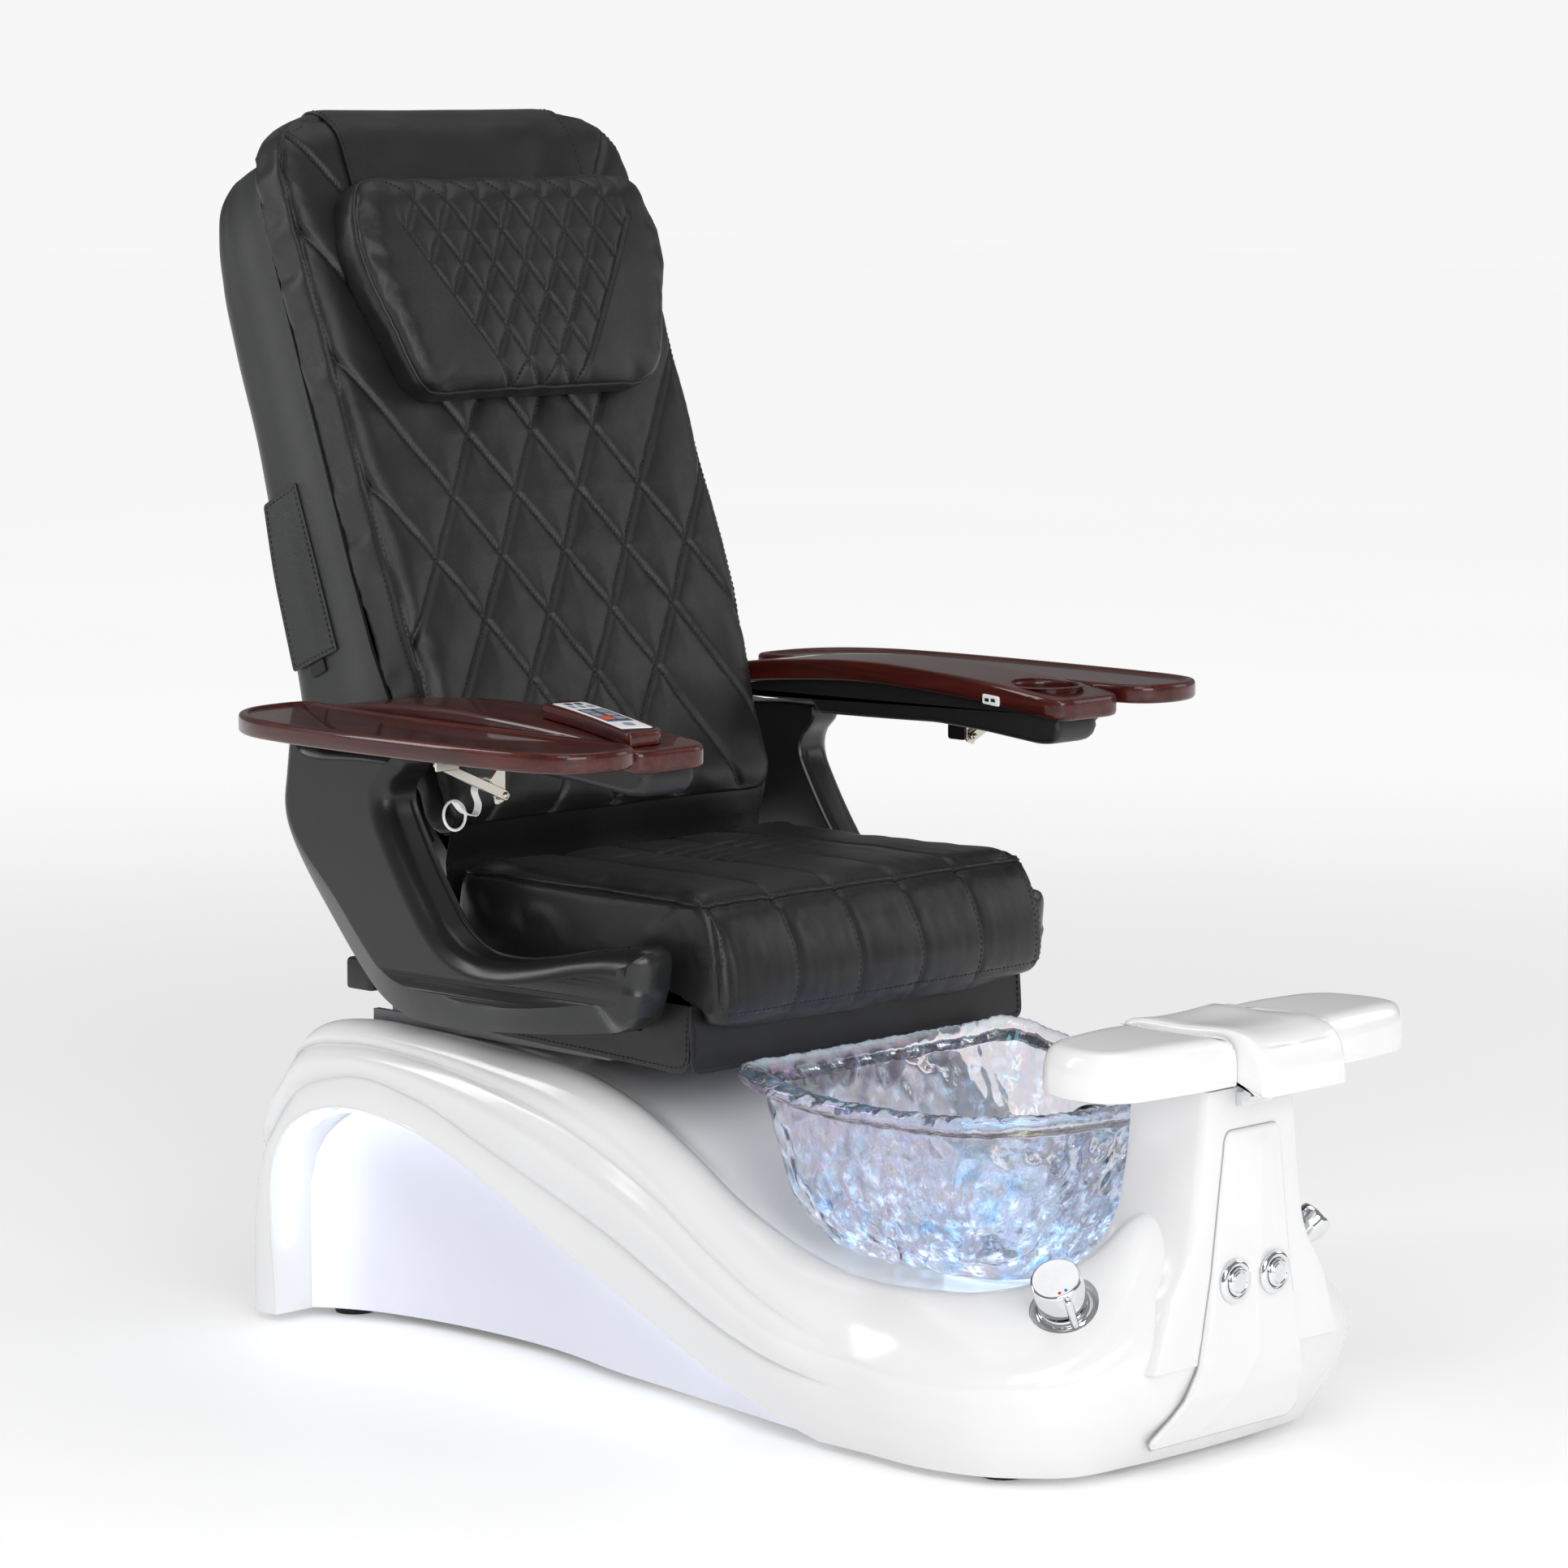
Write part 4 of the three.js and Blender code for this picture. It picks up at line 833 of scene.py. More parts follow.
def base_skin():
    """The moulded base: its half sections lofted, swelled between the creases, and mirrored."""
    step = np.linalg.norm(np.diff(SECTIONS[:, 1:5].mean(axis=1), axis=0), axis=1)
    knots = np.concatenate([[0], np.cumsum(step)])
    rails = hermite(knots, SECTIONS, np.linspace(0, knots[-1], STATIONS))
    rails[..., 0] = np.maximum(rails[..., 0], 0)
    rails[0, :, 0] = rails[-1, :, 0] = 0
    rails[:, 6, 0] = 0
    lower = BANDS[0] + BANDS[1]
    upper = lower + BANDS[2]
    rows = []
    for k, rail in enumerate(rails):
        row = profile_through(rail)
        y_mid = rail[3, 1]
        band = smooth_step(y_mid, -470, -330) * (1 - smooth_step(y_mid, 440, 500) * 0.55)
        tangent = np.gradient(row, axis=0)
        tangent /= np.linalg.norm(tangent, axis=1)[:, None] + 1e-9
        way = rails[min(k + 1, STATIONS - 1)].mean(axis=0) - rails[max(k - 1, 0)].mean(axis=0)
        out = np.cross(way / (np.linalg.norm(way) + 1e-9), tangent)
        out /= np.linalg.norm(out, axis=1)[:, None] + 1e-9
        if out[BANDS[0], 0] * max(rail[1, 0], 1) + out[BANDS[0], 1] * np.sign(rail[1, 1]) < 0:
            out = -out
        swell = np.zeros(len(row))
        for first, last, high in ((0, lower, 0.55), (lower, upper, 1.0), (upper, upper + BANDS[3] + 4, 0.95)):
            s = np.linspace(0, 1, last - first + 1)
            swell[first:last + 1] = np.maximum(swell[first:last + 1],
                                               high * np.sin(np.pi * s ** 0.8) ** 0.75 if first else
                                               high * s * np.sin(np.pi * np.clip(s, 0, 1) ** 1.6) ** 0.5)
        swell[lower] = swell[upper] = 0
        rows.append(row + out * (swell * SIDE_BULGE * band)[:, None])
    rows = np.array(rows)
    cols = rows.shape[1]
    rows[0, :, 0] = rows[-1, :, 0] = 0
    rows[:, -1, 0] = 0
    mirror = rows * (-1, 1, 1)
    points = np.vstack([rows.reshape(-1, 3), mirror.reshape(-1, 3)])
    half = STATIONS * cols
    faces = quads(STATIONS, cols) + [tuple(half + v for v in reversed(f)) for f in quads(STATIONS, cols)]
    faces += [(k * cols, (k + 1) * cols, half + (k + 1) * cols, half + k * cols) for k in range(STATIONS - 1)]
    return tidy_mesh(new_object("base_shell_skin", points, faces), weld=2e-4)


POST_LEVELS = np.array([(118, 130), (158, 116), (204, 99), (262, 84), (302, 78), (350, 72), (390, 69)], float)
POST_REAR = np.array([(118, -560), (190, -582), (225, -606), (262, -622), (300, -627), (390, -628)], float)


def post_skin():
    """The front post, leaning back to the footrest."""
    loops = []
    for z in np.linspace(118, 390, 60):
        half = hermite(POST_LEVELS[:, 0], POST_LEVELS[:, 1:], np.array([z]))[0, 0]
        half += 16 * (1 - smooth_step(z, 180, 262)) ** 2
        rear = hermite(POST_REAR[:, 0], POST_REAR[:, 1:], np.array([z]))[0, 0]
        corner = [(half - 9, -728), (half - 3.2, -726.8), (half - 0.6, -723), (half, -717)]
        rear_corner = [(half, rear - 8), (half - 1, rear - 2.5), (half - 5, rear)]
        right = corner + [(half, -717 + (rear + 709) * k / 8) for k in range(1, 8)] + rear_corner
        front = [(x, -728) for x in np.linspace(-half + 9, half - 9, 13)[1:-1]]
        behind = [(x, rear) for x in np.linspace(half - 5, -half + 5, 13)[1:-1]]
        ring = front + right + behind + [(-x, y) for x, y in reversed(right)]
        loops.append([(x, y, z) for x, y in ring])
    return tidy_mesh(loft("post", loops))


RECESS_EDGE = spline([(468, 10), (466, 100), (462, 176), (444, 218), (412, 243), (372, 258), (324, 263),
                      (270, 259), (220, 250), (161, 230), (101, 205), (20, 167), (-93, 121), (-204, 73),
                      (-300, 35), (-370, 10)], 170)
RECESS_PLAN = spline([(214, 489), (186, 453), (165, 408), (152, 350), (145, 280), (144, 210), (150, 130),
                      (163, 60), (178, 0), (198, -120), (217, -235), (234, -340), (240, -400)], 120)


def panel_half(y):
    """Half width of the lit panel's face at each y."""
    order = np.argsort(RECESS_PLAN[:, 1])
    return np.interp(y, RECESS_PLAN[order, 1], RECESS_PLAN[order, 0])


def recess_tool(side, back):
    """The solid that cuts the side's recess out of the base, back behind the lit panel's face."""
    loops = []
    for y, z in RECESS_EDGE:
        inner = panel_half(y) - back
        loops.append([(side * x, y, h) for x, h in ((inner, -40), (330, -40), (330, z), (inner, z))])
    return tidy_mesh(loft("recess", loops), weld=1e-6)


def hollow_tool():
    """The room inside the base, open below."""
    loops = []
    for y, half, top in ((470, 120, 240), (380, 132, 320), (300, 125, 330), (150, 125, 322), (0, 150, 298),
                         (-80, 165, 238), (-160, 175, 165), (-240, 190, 138), (-330, 205, 124), (-430, 215, 122),
                         (-520, 210, 120), (-575, 180, 118), (-620, 140, 112), (-650, 110, 84)):
        loops.append([(-half, y, -20), (half, y, -20), (half, y, top - 30), (half - 35, y, top),
                      (-half + 35, y, top), (-half, y, top - 30)])
    return tidy_mesh(loft("hollow", loops), weld=1e-6)


def spot_face(at, along, radius):
    """The solid that cuts a flat seat for a tap."""
    profile = [(0, -0.4), (radius - 2, -0.4), (radius, 1.0), (radius + 1.5, 3.0), (radius + 1.5, 60), (0, 60)]
    return lathe("spot", profile, at, along, 48)


MIXER_AT, MIXER_ALONG, LEVER_TURN = (-172, -636, 173), (-0.6, -0.26, 0.76), 2.62
SHOWER_AT, SHOWER_ALONG = (236, -570, 150), (0.66, -0.3, 0.69)


def make_base():
    base = base_skin()
    boolean(base, post_skin(), "UNION")
    boolean(base, spot_face(MIXER_AT, MIXER_ALONG, 34), "DIFFERENCE")
    boolean(base, spot_face(SHOWER_AT, SHOWER_ALONG, 27), "DIFFERENCE")
    for side in (1, -1):
        boolean(base, recess_tool(side, 6), "DIFFERENCE")
    boolean(base, hollow_tool(), "DIFFERENCE")
    tidy_mesh(base, weld=1e-5, angle=30)
    finish_piece(base, SHELL_WHITE_PAINTED_LIGHT, "base", ["base_shell"])
    skin = Skin(base)

    for side, tag in ((1, "left"), (-1, "right")):
        make_side_light(side, tag, skin)
    make_access_panel()


def make_side_light(side, tag, skin):
    """The lit panel in the side's recess, brightest along the arch, and the bead round the arch."""
    rows, cols = 90, 150
    ys = np.linspace(465, -362, cols)
    order = np.argsort(RECESS_EDGE[:, 0])
    top = np.interp(ys, RECESS_EDGE[order, 0], RECESS_EDGE[order, 1]) - 3.0
    front = np.vstack([np.stack([side * (panel_half(ys) - 0.6), ys, 12 + (top - 12) * (k / (rows - 1))], axis=1)
                       for k in range(rows)])
    distance = nearest(RECESS_EDGE, front[:, 1:])
    rearness = smooth_step(front[:, 1], -150, 420)
    glow = np.exp(-distance / (17 + 26 * rearness)) * (0.72 + 0.28 * rearness) + 0.12 * np.exp(-distance / 140)
    behind = front - (side * 4.0, 0, 0)
    ob = new_object(f"side_light_face_{tag}", np.vstack([front, behind]), plate_faces(rows, cols))
    add_float(ob, "glow", np.concatenate([glow, glow]))
    tidy_mesh(ob, weld=0)
    finish_piece(ob, LIT, "base", [f"side_light_panel_{tag}"])

    lip = []
    for y, z in RECESS_EDGE[2:-2]:
        hit = skin.drop((side * 320, y, z + 0.8 if y < 462 else z), (-side, 0, 0))
        if hit is not None and abs(hit[0][0]) > 225:
            lip.append(hit[0] - np.array([side * 1.4, 0, -0.5]))
    bead = sweep(f"recess_bead_{tag}", spline(lip, 260), circle(1.9, 12), up=(side, 0, 0))
    finish_piece(bead, WHITE, "base")


ACCESS_HALF = np.array([(30, 104), (37, 112), (44, 112), (66, 98), (118, 78), (205, 60), (300, 47), (334, 42),
                        (343, 38), (348, 30)], float)


POST_FRONT = -728.4             # the flat front of the post
BUTTON_X, BUTTON_Z = 31, 197


def front_face_y(z):
    return np.interp(z, [0, 30, 84, 112, 400], [-668, -689, -722.4, POST_FRONT, POST_FRONT])


def make_access_panel():
    rows, cols = 150, 61
    z = np.concatenate([np.linspace(30, 44, 14), np.linspace(46, 330, 116), np.linspace(332, 348, 20)])
    half = np.interp(z, ACCESS_HALF[:, 0], ACCESS_HALF[:, 1])
    half[-20:] = 42.5 - 10 * (1 - np.sqrt(np.clip(1 - ((z[-20:] - 332) / 16) ** 2, 0, 1)))
    u = np.linspace(-1, 1, cols)
    x = half[:, None] * u[None, :]
    zz = np.repeat(z[:, None], cols, axis=1)
    edge = np.minimum(half[:, None] * (1 - np.abs(u[None, :])), np.minimum(zz - 30, 348 - zz))
    ridge = np.interp(zz, [30, 70, 120, 348], [-52, -20, 6, 10])
    facet = 3.2 * np.exp(-np.abs(x - ridge) / 26) * smooth_step(edge, 2, 20)
    proud = 5.0 * np.sqrt(np.clip(1 - (1 - np.clip(edge / 4.0, 0, 1)) ** 2, 0, 1)) + facet * 0.75
    for bx in (-BUTTON_X, BUTTON_X):
        flat = 1 - smooth_step(np.hypot(x - bx, zz - BUTTON_Z), 20, 30)
        proud = proud * (1 - flat) + 5.0 * flat
    y = front_face_y(zz) - proud
    front = np.stack([x, y, zz], axis=-1).reshape(-1, 3)
    behind = np.stack([x, front_face_y(zz) - 0.1, zz], axis=-1).reshape(-1, 3)
    ob = new_object("access_panel_face", np.vstack([front, behind]), plate_faces(rows, cols))
    finish_piece(tidy_mesh(ob, weld=1e-6, angle=50), WHITE, "base", ["access_panel"])

    # a grey ring round the panel's edge: painted shade for the groove between the panel and the fascia
    outline = front.reshape(rows, cols, 3)
    loop = np.vstack([outline[:, -1], outline[-1, ::-1][1:], outline[::-1, 0][1:], outline[0, 1:-1]])
    loop = loop * (1.012, 1, 1) + (0, 0.2, 0)
    seam = sweep("access_panel_groove_shade", spline(loop, 300, closed=True), circle(0.9, 8), up=(0, -1, 0), closed=True)
    finish_piece(seam, plastic("groove shade grey", (0.35, 0.35, 0.36), 0.5, 0.05), "base")

    for bx, tag in ((-BUTTON_X, "jet"), (BUTTON_X, "drain")):
        at = (bx, POST_FRONT - 5 - 0.4, BUTTON_Z)
        ring = rounded([(14.9, 0), (22, 0), (22.4, 1.6), (21, 4.6), (18.6, 5.8), (16, 5.5), (14.9, 4.2)], 0.9)
        finish_piece(lathe(f"{tag}_button_ring", ring + [ring[0]], at, (0, -1, 0), 96), CHROME, "base",
                     [f"{tag}_button_bezel"])
        cap = rounded([(0, 2.8), (14.3, 2.8), (14.3, 6.6), (13.2, 8.2), (11.4, 8.6), (10.9, 7.7), (10.2, 7.7),
                       (9.7, 8.5), (5, 8.8), (0, 8.9)], 0.5)
        finish_piece(lathe(f"{tag}_button_cap", cap, at, (0, -1, 0), 96), CHROME, f"{tag}_button",
                     [f"{tag}_button"])


# ------------------------------------------------------------------ glass foot bowl
BOWL_Y = -412
BOWL_FOOT, BOWL_EDGE = 169, 326     # heights of the bowl's foot and of its wall's upper edge
BOWL_OUT = np.array([(169, 112, 112, 92), (178, 140, 132, 108), (200, 165, 150, 122), (240, 188, 168, 142),
                     (290, 200, 180, 168), (326, 207, 188, 186)], float)


def bowl_ring(z, half, back, front, rise, steps, lobe=0.0):
    """One level of the bowl: squarer behind, with the two rear corners drawn out and the rim rising to them."""
    t = np.linspace(0, 2 * math.pi, 3601)
    c, s = np.cos(t), np.sin(t)
    power = np.where(s > 0, 0.52, 0.66)
    x = half * np.sign(c) * np.abs(c) ** power
    y = np.where(s > 0, back, front) * np.sign(s) * np.abs(s) ** power
    corner = np.exp(-((np.abs(np.abs(t - math.pi / 2) - math.pi / 4)) / 0.34) ** 2) * (s > 0)
    x, y = x * (1 + lobe * corner), y * (1 + lobe * corner)
    lift = rise * np.where(s > 0, 0.26 + 0.5 * np.abs(s) ** 1.5 + 0.24 * corner, 0.26 + 0.12 * np.abs(s))
    ring = np.stack([x, BOWL_Y + y, z + lift], axis=1)
    run = np.concatenate([[0], np.cumsum(np.linalg.norm(np.diff(ring[:, :2], axis=0), axis=1))])
    at = np.linspace(0, run[-1], steps, endpoint=False)
    return np.stack([np.interp(at, run, ring[:, k]) for k in range(3)], axis=1)


def make_bowl():
    """The hammered bowl in one closed skin: under the foot, up the wall, over the rim and down inside."""
    steps = 400
    z = np.concatenate([np.linspace(BOWL_FOOT, 178, 6)[:-1], np.linspace(178, BOWL_EDGE, 70)])
    out = hermite(BOWL_OUT[:, 0], BOWL_OUT[:, 1:], z)
    loops, weight, glow = [], [], []

    def put(ring, w, g):
        loops.append(ring)
        weight.append(w)
        glow.append(g)

    for h, (a, b, f) in zip(z, out):
        s = (h - BOWL_FOOT) / (BOWL_EDGE - BOWL_FOOT)
        put(bowl_ring(h, a, b, f, 32 * smooth_step(s, 0.5, 1.0), steps, 0.04 + 0.07 * s),
            smooth_step(s, 0.02, 0.12), 1 - s * 0.8)
    rim = [(328, 214, 192, 190, 31, .3), (331, 221, 198, 196, 33, .35), (336, 225, 201, 199, 34, .4),
           (341, 226, 202, 200, 35, .4), (345, 223, 199, 197, 35.5, .3), (347, 217, 193, 191, 36, .25),
           (346, 210, 186, 184, 35.5, .25), (342, 203, 181, 179, 33.5, .3), (336, 199, 179, 177, 32, .4)]
    for h, a, b, f, rise, w in rim:
        put(bowl_ring(h, a, b, f, rise, steps, 0.125), w, 0.12)
    for h, (a, b, f) in zip(z[::-1][:-3], out[::-1]):
        s = (h - BOWL_FOOT) / (BOWL_EDGE - BOWL_FOOT)
        put(bowl_ring(h + 3, a - 9, b - 9, f - 9, 32 * smooth_step(s, 0.5, 1.0), steps, 0.04 + 0.07 * s),
            0.9 * smooth_step(s, 0.05, 0.15), 1 - s * 0.8)
    floor_ring = loops[-1]
    centre = np.array([0, BOWL_Y, 176.0])
    shares = (0.8, 0.6, 0.4, 0.22)
    for f in shares:
        put(centre + (floor_ring - centre) * f, 0.0, 0.9)
    under = [centre + (loops[0] - centre) * f for f in reversed(shares)]
    loops = [np.column_stack([u[:, :2], np.full(steps, float(BOWL_FOOT))]) for u in under] + loops
    weight = [0.0] * len(under) + weight
    glow = [1.0] * len(under) + glow
    points = np.vstack(loops)
    n = len(loops)
    faces = quads(n, steps, wrap=True)
    last = (n - 1) * steps
    faces += [(last + c, last + (c + 1) % steps, (c + 1) % steps, c) for c in range(steps)]
    ob = new_object("foot_bowl_glass", points, faces)
    tidy_mesh(ob, weld=0, angle=180)
    nrm = normals(ob)
    w = np.repeat(weight, steps)
    p = coords(ob)
    warp = np.stack([value_noise(p + 500, 60), value_noise(p + 900, 60), value_noise(p + 1300, 60)], axis=1) * 9
    q = (p + warp) * (1, 1, 0.72)
    dents = (0.55 - cell_distance(q, 24)) * 7.5 + value_noise(p, 15) * 1.3
    t = np.tile(np.linspace(0, 2 * math.pi, steps, endpoint=False), n)
    notches = 0.55 * np.sin(t * 118 + p[:, 2] * 0.42 + 1.4 * np.sin(t * 9)) + 0.5 * np.sin(t * 37 + 1.0)
    level = np.repeat(np.arange(n), steps) - len(under) - len(z)
    is_rim = (level >= 0) & (level < len(rim))
    move = np.where(is_rim, notches + value_noise(p, 14) * 0.9, dents * w * 0.62)
    set_coords(ob, p + nrm * move[:, None])
    # glow: how much painted light the glass gets at each ring, most under the foot and on the floor inside, least at
    # the rim
    add_float(ob, "glow", np.clip(np.repeat(glow, steps), 0, 1) ** 1.4)
    finish_piece(ob, GLASS, "base", ["foot_bowl"])

    strainer = rounded([(0, 2), (17.4, 0.2), (17.4, 11.6), (24, 11.8), (24, 14), (19, 15.8), (14, 15.2), (0, 14.6)])
    parts = [lathe("strainer", strainer, (0, BOWL_Y, 170), (0, 0, 1), 64)]
    for k in range(8):
        a = k * math.pi / 4
        parts.append(lathe("hole", [(0, 0), (2.6, 0), (2.6, 0.5), (0, 0.5)],
                           (9 * math.cos(a), BOWL_Y + 9 * math.sin(a), 184.8), (0, 0, 1), 20))
    whole = merge("drain_strainer_face", parts)
    finish_piece(tidy_mesh(whole, weld=0), CHROME, "base", ["drain_strainer"])

    jet_at, way = (166, BOWL_Y + 20, 262), (-1, 0, 0)
    cover = rounded([(0, 0.5), (40, 0.5), (44, 4), (44, 16), (40, 20), (33, 20.4), (31.8, 19), (31.8, 8), (0, 8)], 1.2)
    parts = [lathe("jet", cover, jet_at, way, 96)]
    for k in range(12):
        a = k * math.pi / 6
        start = (jet_at[0] - 20.6, jet_at[1] + 11 * math.cos(a), jet_at[2] + 11 * math.sin(a))
        end = (jet_at[0] - 20.0, jet_at[1] + 33 * math.cos(a), jet_at[2] + 33 * math.sin(a))
        parts.append(sweep("spoke", np.linspace(start, end, 6), circle(1.3, 8), up=(1, 0, 0)))
    for r in (11, 21):
        a = np.linspace(0, 2 * math.pi, 64, endpoint=False)
        path = np.stack([np.full(64, jet_at[0] - 20.4), jet_at[1] + r * np.cos(a), jet_at[2] + r * np.sin(a)], axis=1)
        parts.append(sweep("hoop", path, circle(1.4, 8), up=(1, 0, 0), closed=True))
    whole = merge("jet_cover", parts)
    finish_piece(tidy_mesh(whole, weld=0), CHROME, "base", ["jet_housing"])


# ------------------------------------------------------------------ taps
def make_taps():
    at, along = MIXER_AT, MIXER_ALONG
    ring = rounded([(0, 0), (32.6, 0), (33, 2.5), (31, 6), (28.6, 8.6), (25.6, 9), (25, 12), (23.5, 14), (0, 14)], 0.9)
    finish_piece(lathe("mixer_base_ring", ring, at, along, 96), CHROME, "base", ["mixer_escutcheon"])
    cap = rounded([(22, 20), (25.6, 20), (26, 21), (26, 51.6), (25, 53.4), (23.6, 54), (0, 54)], 0.7) + [
        (0, 42), (22, 42), (22, 20)]
    turn = np.array(rotate_to(along))
    c, s = math.cos(LEVER_TURN), math.sin(LEVER_TURN)
    swing = np.array([[c, -s, 0], [s, c, 0], [0, 0, 1]])

    def put(p):
        return (turn @ swing @ np.asarray(p, float)) + np.asarray(at, float)
    parts = [lathe("cap", cap, at, along, 96)]
    arm = [put((0, y, 49)) for y in np.linspace(22, 29, 6)]
    parts.append(sweep("arm", arm, circle(3.4, 20), up=put((0, 0, 1)) - put((0, 0, 0))))
    profile = rounded([(0, 0), (3.7, 0), (4.1, 2), (4.1, 40), (3.6, 42), (0, 42.4)], 1.2)
    foot, head = put((0, 30.4, 11)), put((0, 30.4, 12))
    parts.append(lathe("lever", profile, foot, head - foot, 32))
    whole = merge("mixer_cap", parts)
    finish_piece(tidy_mesh(whole, weld=0), CHROME, "mixer_handle", ["mixer_handle"])
    for x, look, name in ((-3.4, BLUE, "mixer_mark_cold"), (3.4, RED, "mixer_mark_hot")):
        dot = lathe(name, [(0, -0.3), (1.7, -0.3), (1.7, 0.25), (1.2, 0.45), (0, 0.5)], put((x, 19, 54)), along, 24)
        finish_piece(dot, look, "mixer_handle")

    at, along = SHOWER_AT, SHOWER_ALONG
    holder = rounded([(0, 0), (26, 0), (26, 4), (23, 7.5), (20, 9), (0, 9)], 1.0)
    finish_piece(lathe("shower_seat_ring", holder, at, along, 80), CHROME, "base", ["shower_holder"])
    head = rounded([(0, 9.4), (13.4, 9.4), (14, 11), (14, 20), (12.4, 21.5), (12.4, 24), (14, 25.5), (14.4, 40),
                    (19, 52), (19, 65), (17.6, 69), (14, 70), (13, 68.6), (0, 68.6)], 1.0)
    finish_piece(lathe("hand_shower_head", head, at, along, 80), CHROME, "hand_shower", ["hand_shower"])


# ------------------------------------------------------------------ footrest
def make_footrest():
    top = spline([(-612, 396), (-611, 440), (-620, 451), (-690, 454), (-755, 455), (-782, 446), (-795, 424),
                  (-798, 393)], 90)
    under = resample([(-798, 393), (-786, 391), (-776, 397), (-762, 403), (-727, 403), (-727, 396), (-612, 396)], 4,
                     closed=False)
    outline = np.vstack([top, under[1:-1]])
    loops = []
    for x, inset in ((-66, 7), (-65.6, 4.6), (-64.4, 2.4), (-62.4, 0.9), (-59, 0), (-40, 0), (-20, 0), (0, 0), (20, 0),
                     (40, 0), (59, 0), (62.4, 0.9), (64.4, 2.4), (65.6, 4.6), (66, 7)):
        p = inset_loop(outline, np.minimum(inset, 3.0 + 4.0 * (outline[:, 1] > 410)))
        sink = 3.0 * (1 - (x / 66) ** 2)
        z = p[:, 1] - np.where(p[:, 1] > 440, sink, 0)
        loops.append(np.stack([np.full(len(p), float(x)), p[:, 0], z], axis=1))
    ob = tidy_mesh(loft("footrest_saddle", loops), weld=1e-5, angle=45)
    finish_piece(ob, PAD_WHITE, "footrest", ["footrest_pad_centre"])

    corner = [(67, -622), (110, -621), (152, -625), (196, -632), (222, -648), (235, -676), (239, -704), (233, -734),
              (212, -751), (152, -761), (110, -764), (67, -764)]
    curve = spline(corner, 150)
    outline = np.vstack([curve, resample([(67, -764), (67, -622)], 5, closed=False)[1:-1]])
    rim = [(3.0, 401), (0.9, 402), (0, 404), (0, 414), (0.2, 424), (1.0, 431), (2.6, 437), (5.2, 442), (8.6, 445.4),
           (12.4, 447), (17, 448)]
    for side, tag in ((1, "left"), (-1, "right")):
        def place(loop, side=side):
            x, y, z = loop.T
            crown = 2.5 * np.clip(1 - ((x - 145) / 100) ** 2, 0, 1) * smooth_step(z, 430, 448)
            return np.stack([side * x, y, z + crown], axis=1)
        ob = slab(f"footrest_side_pad_{tag}", outline, rim, [(100, -693), (190, -693)], place)
        finish_piece(ob, PAD_WHITE, "footrest", [f"footrest_pad_{tag}"])


# ------------------------------------------------------------------ seat
SEAT_SIDE = [(166, 438), (172, 470), (171, 520), (160, 543), (100, 547), (-60, 548), (-170, 548), (-202, 546),
             (-218, 535), (-230, 512), (-243, 466), (-242, 428), (-226, 411), (-206, 411), (-198, 437), (-100, 437),
             (60, 437)]
RIBS = (-235, -141, -47, 47, 141, 235)


def crease(d, deep, narrow=3.2, wide=15.0, share=0.5):
    """Depth of a sewn channel at distance d: a sharp furrow in a broad soft valley."""
    return deep * (share * np.exp(-(d / narrow) ** 2) + (1 - share) * np.exp(-np.abs(d) / wide))


PAN_TOP = 433.0                 # the seat pan's upper face, which the seat cushion lies on
STEP = 3.0                      # spacing of the points that a row of stitches is laid through


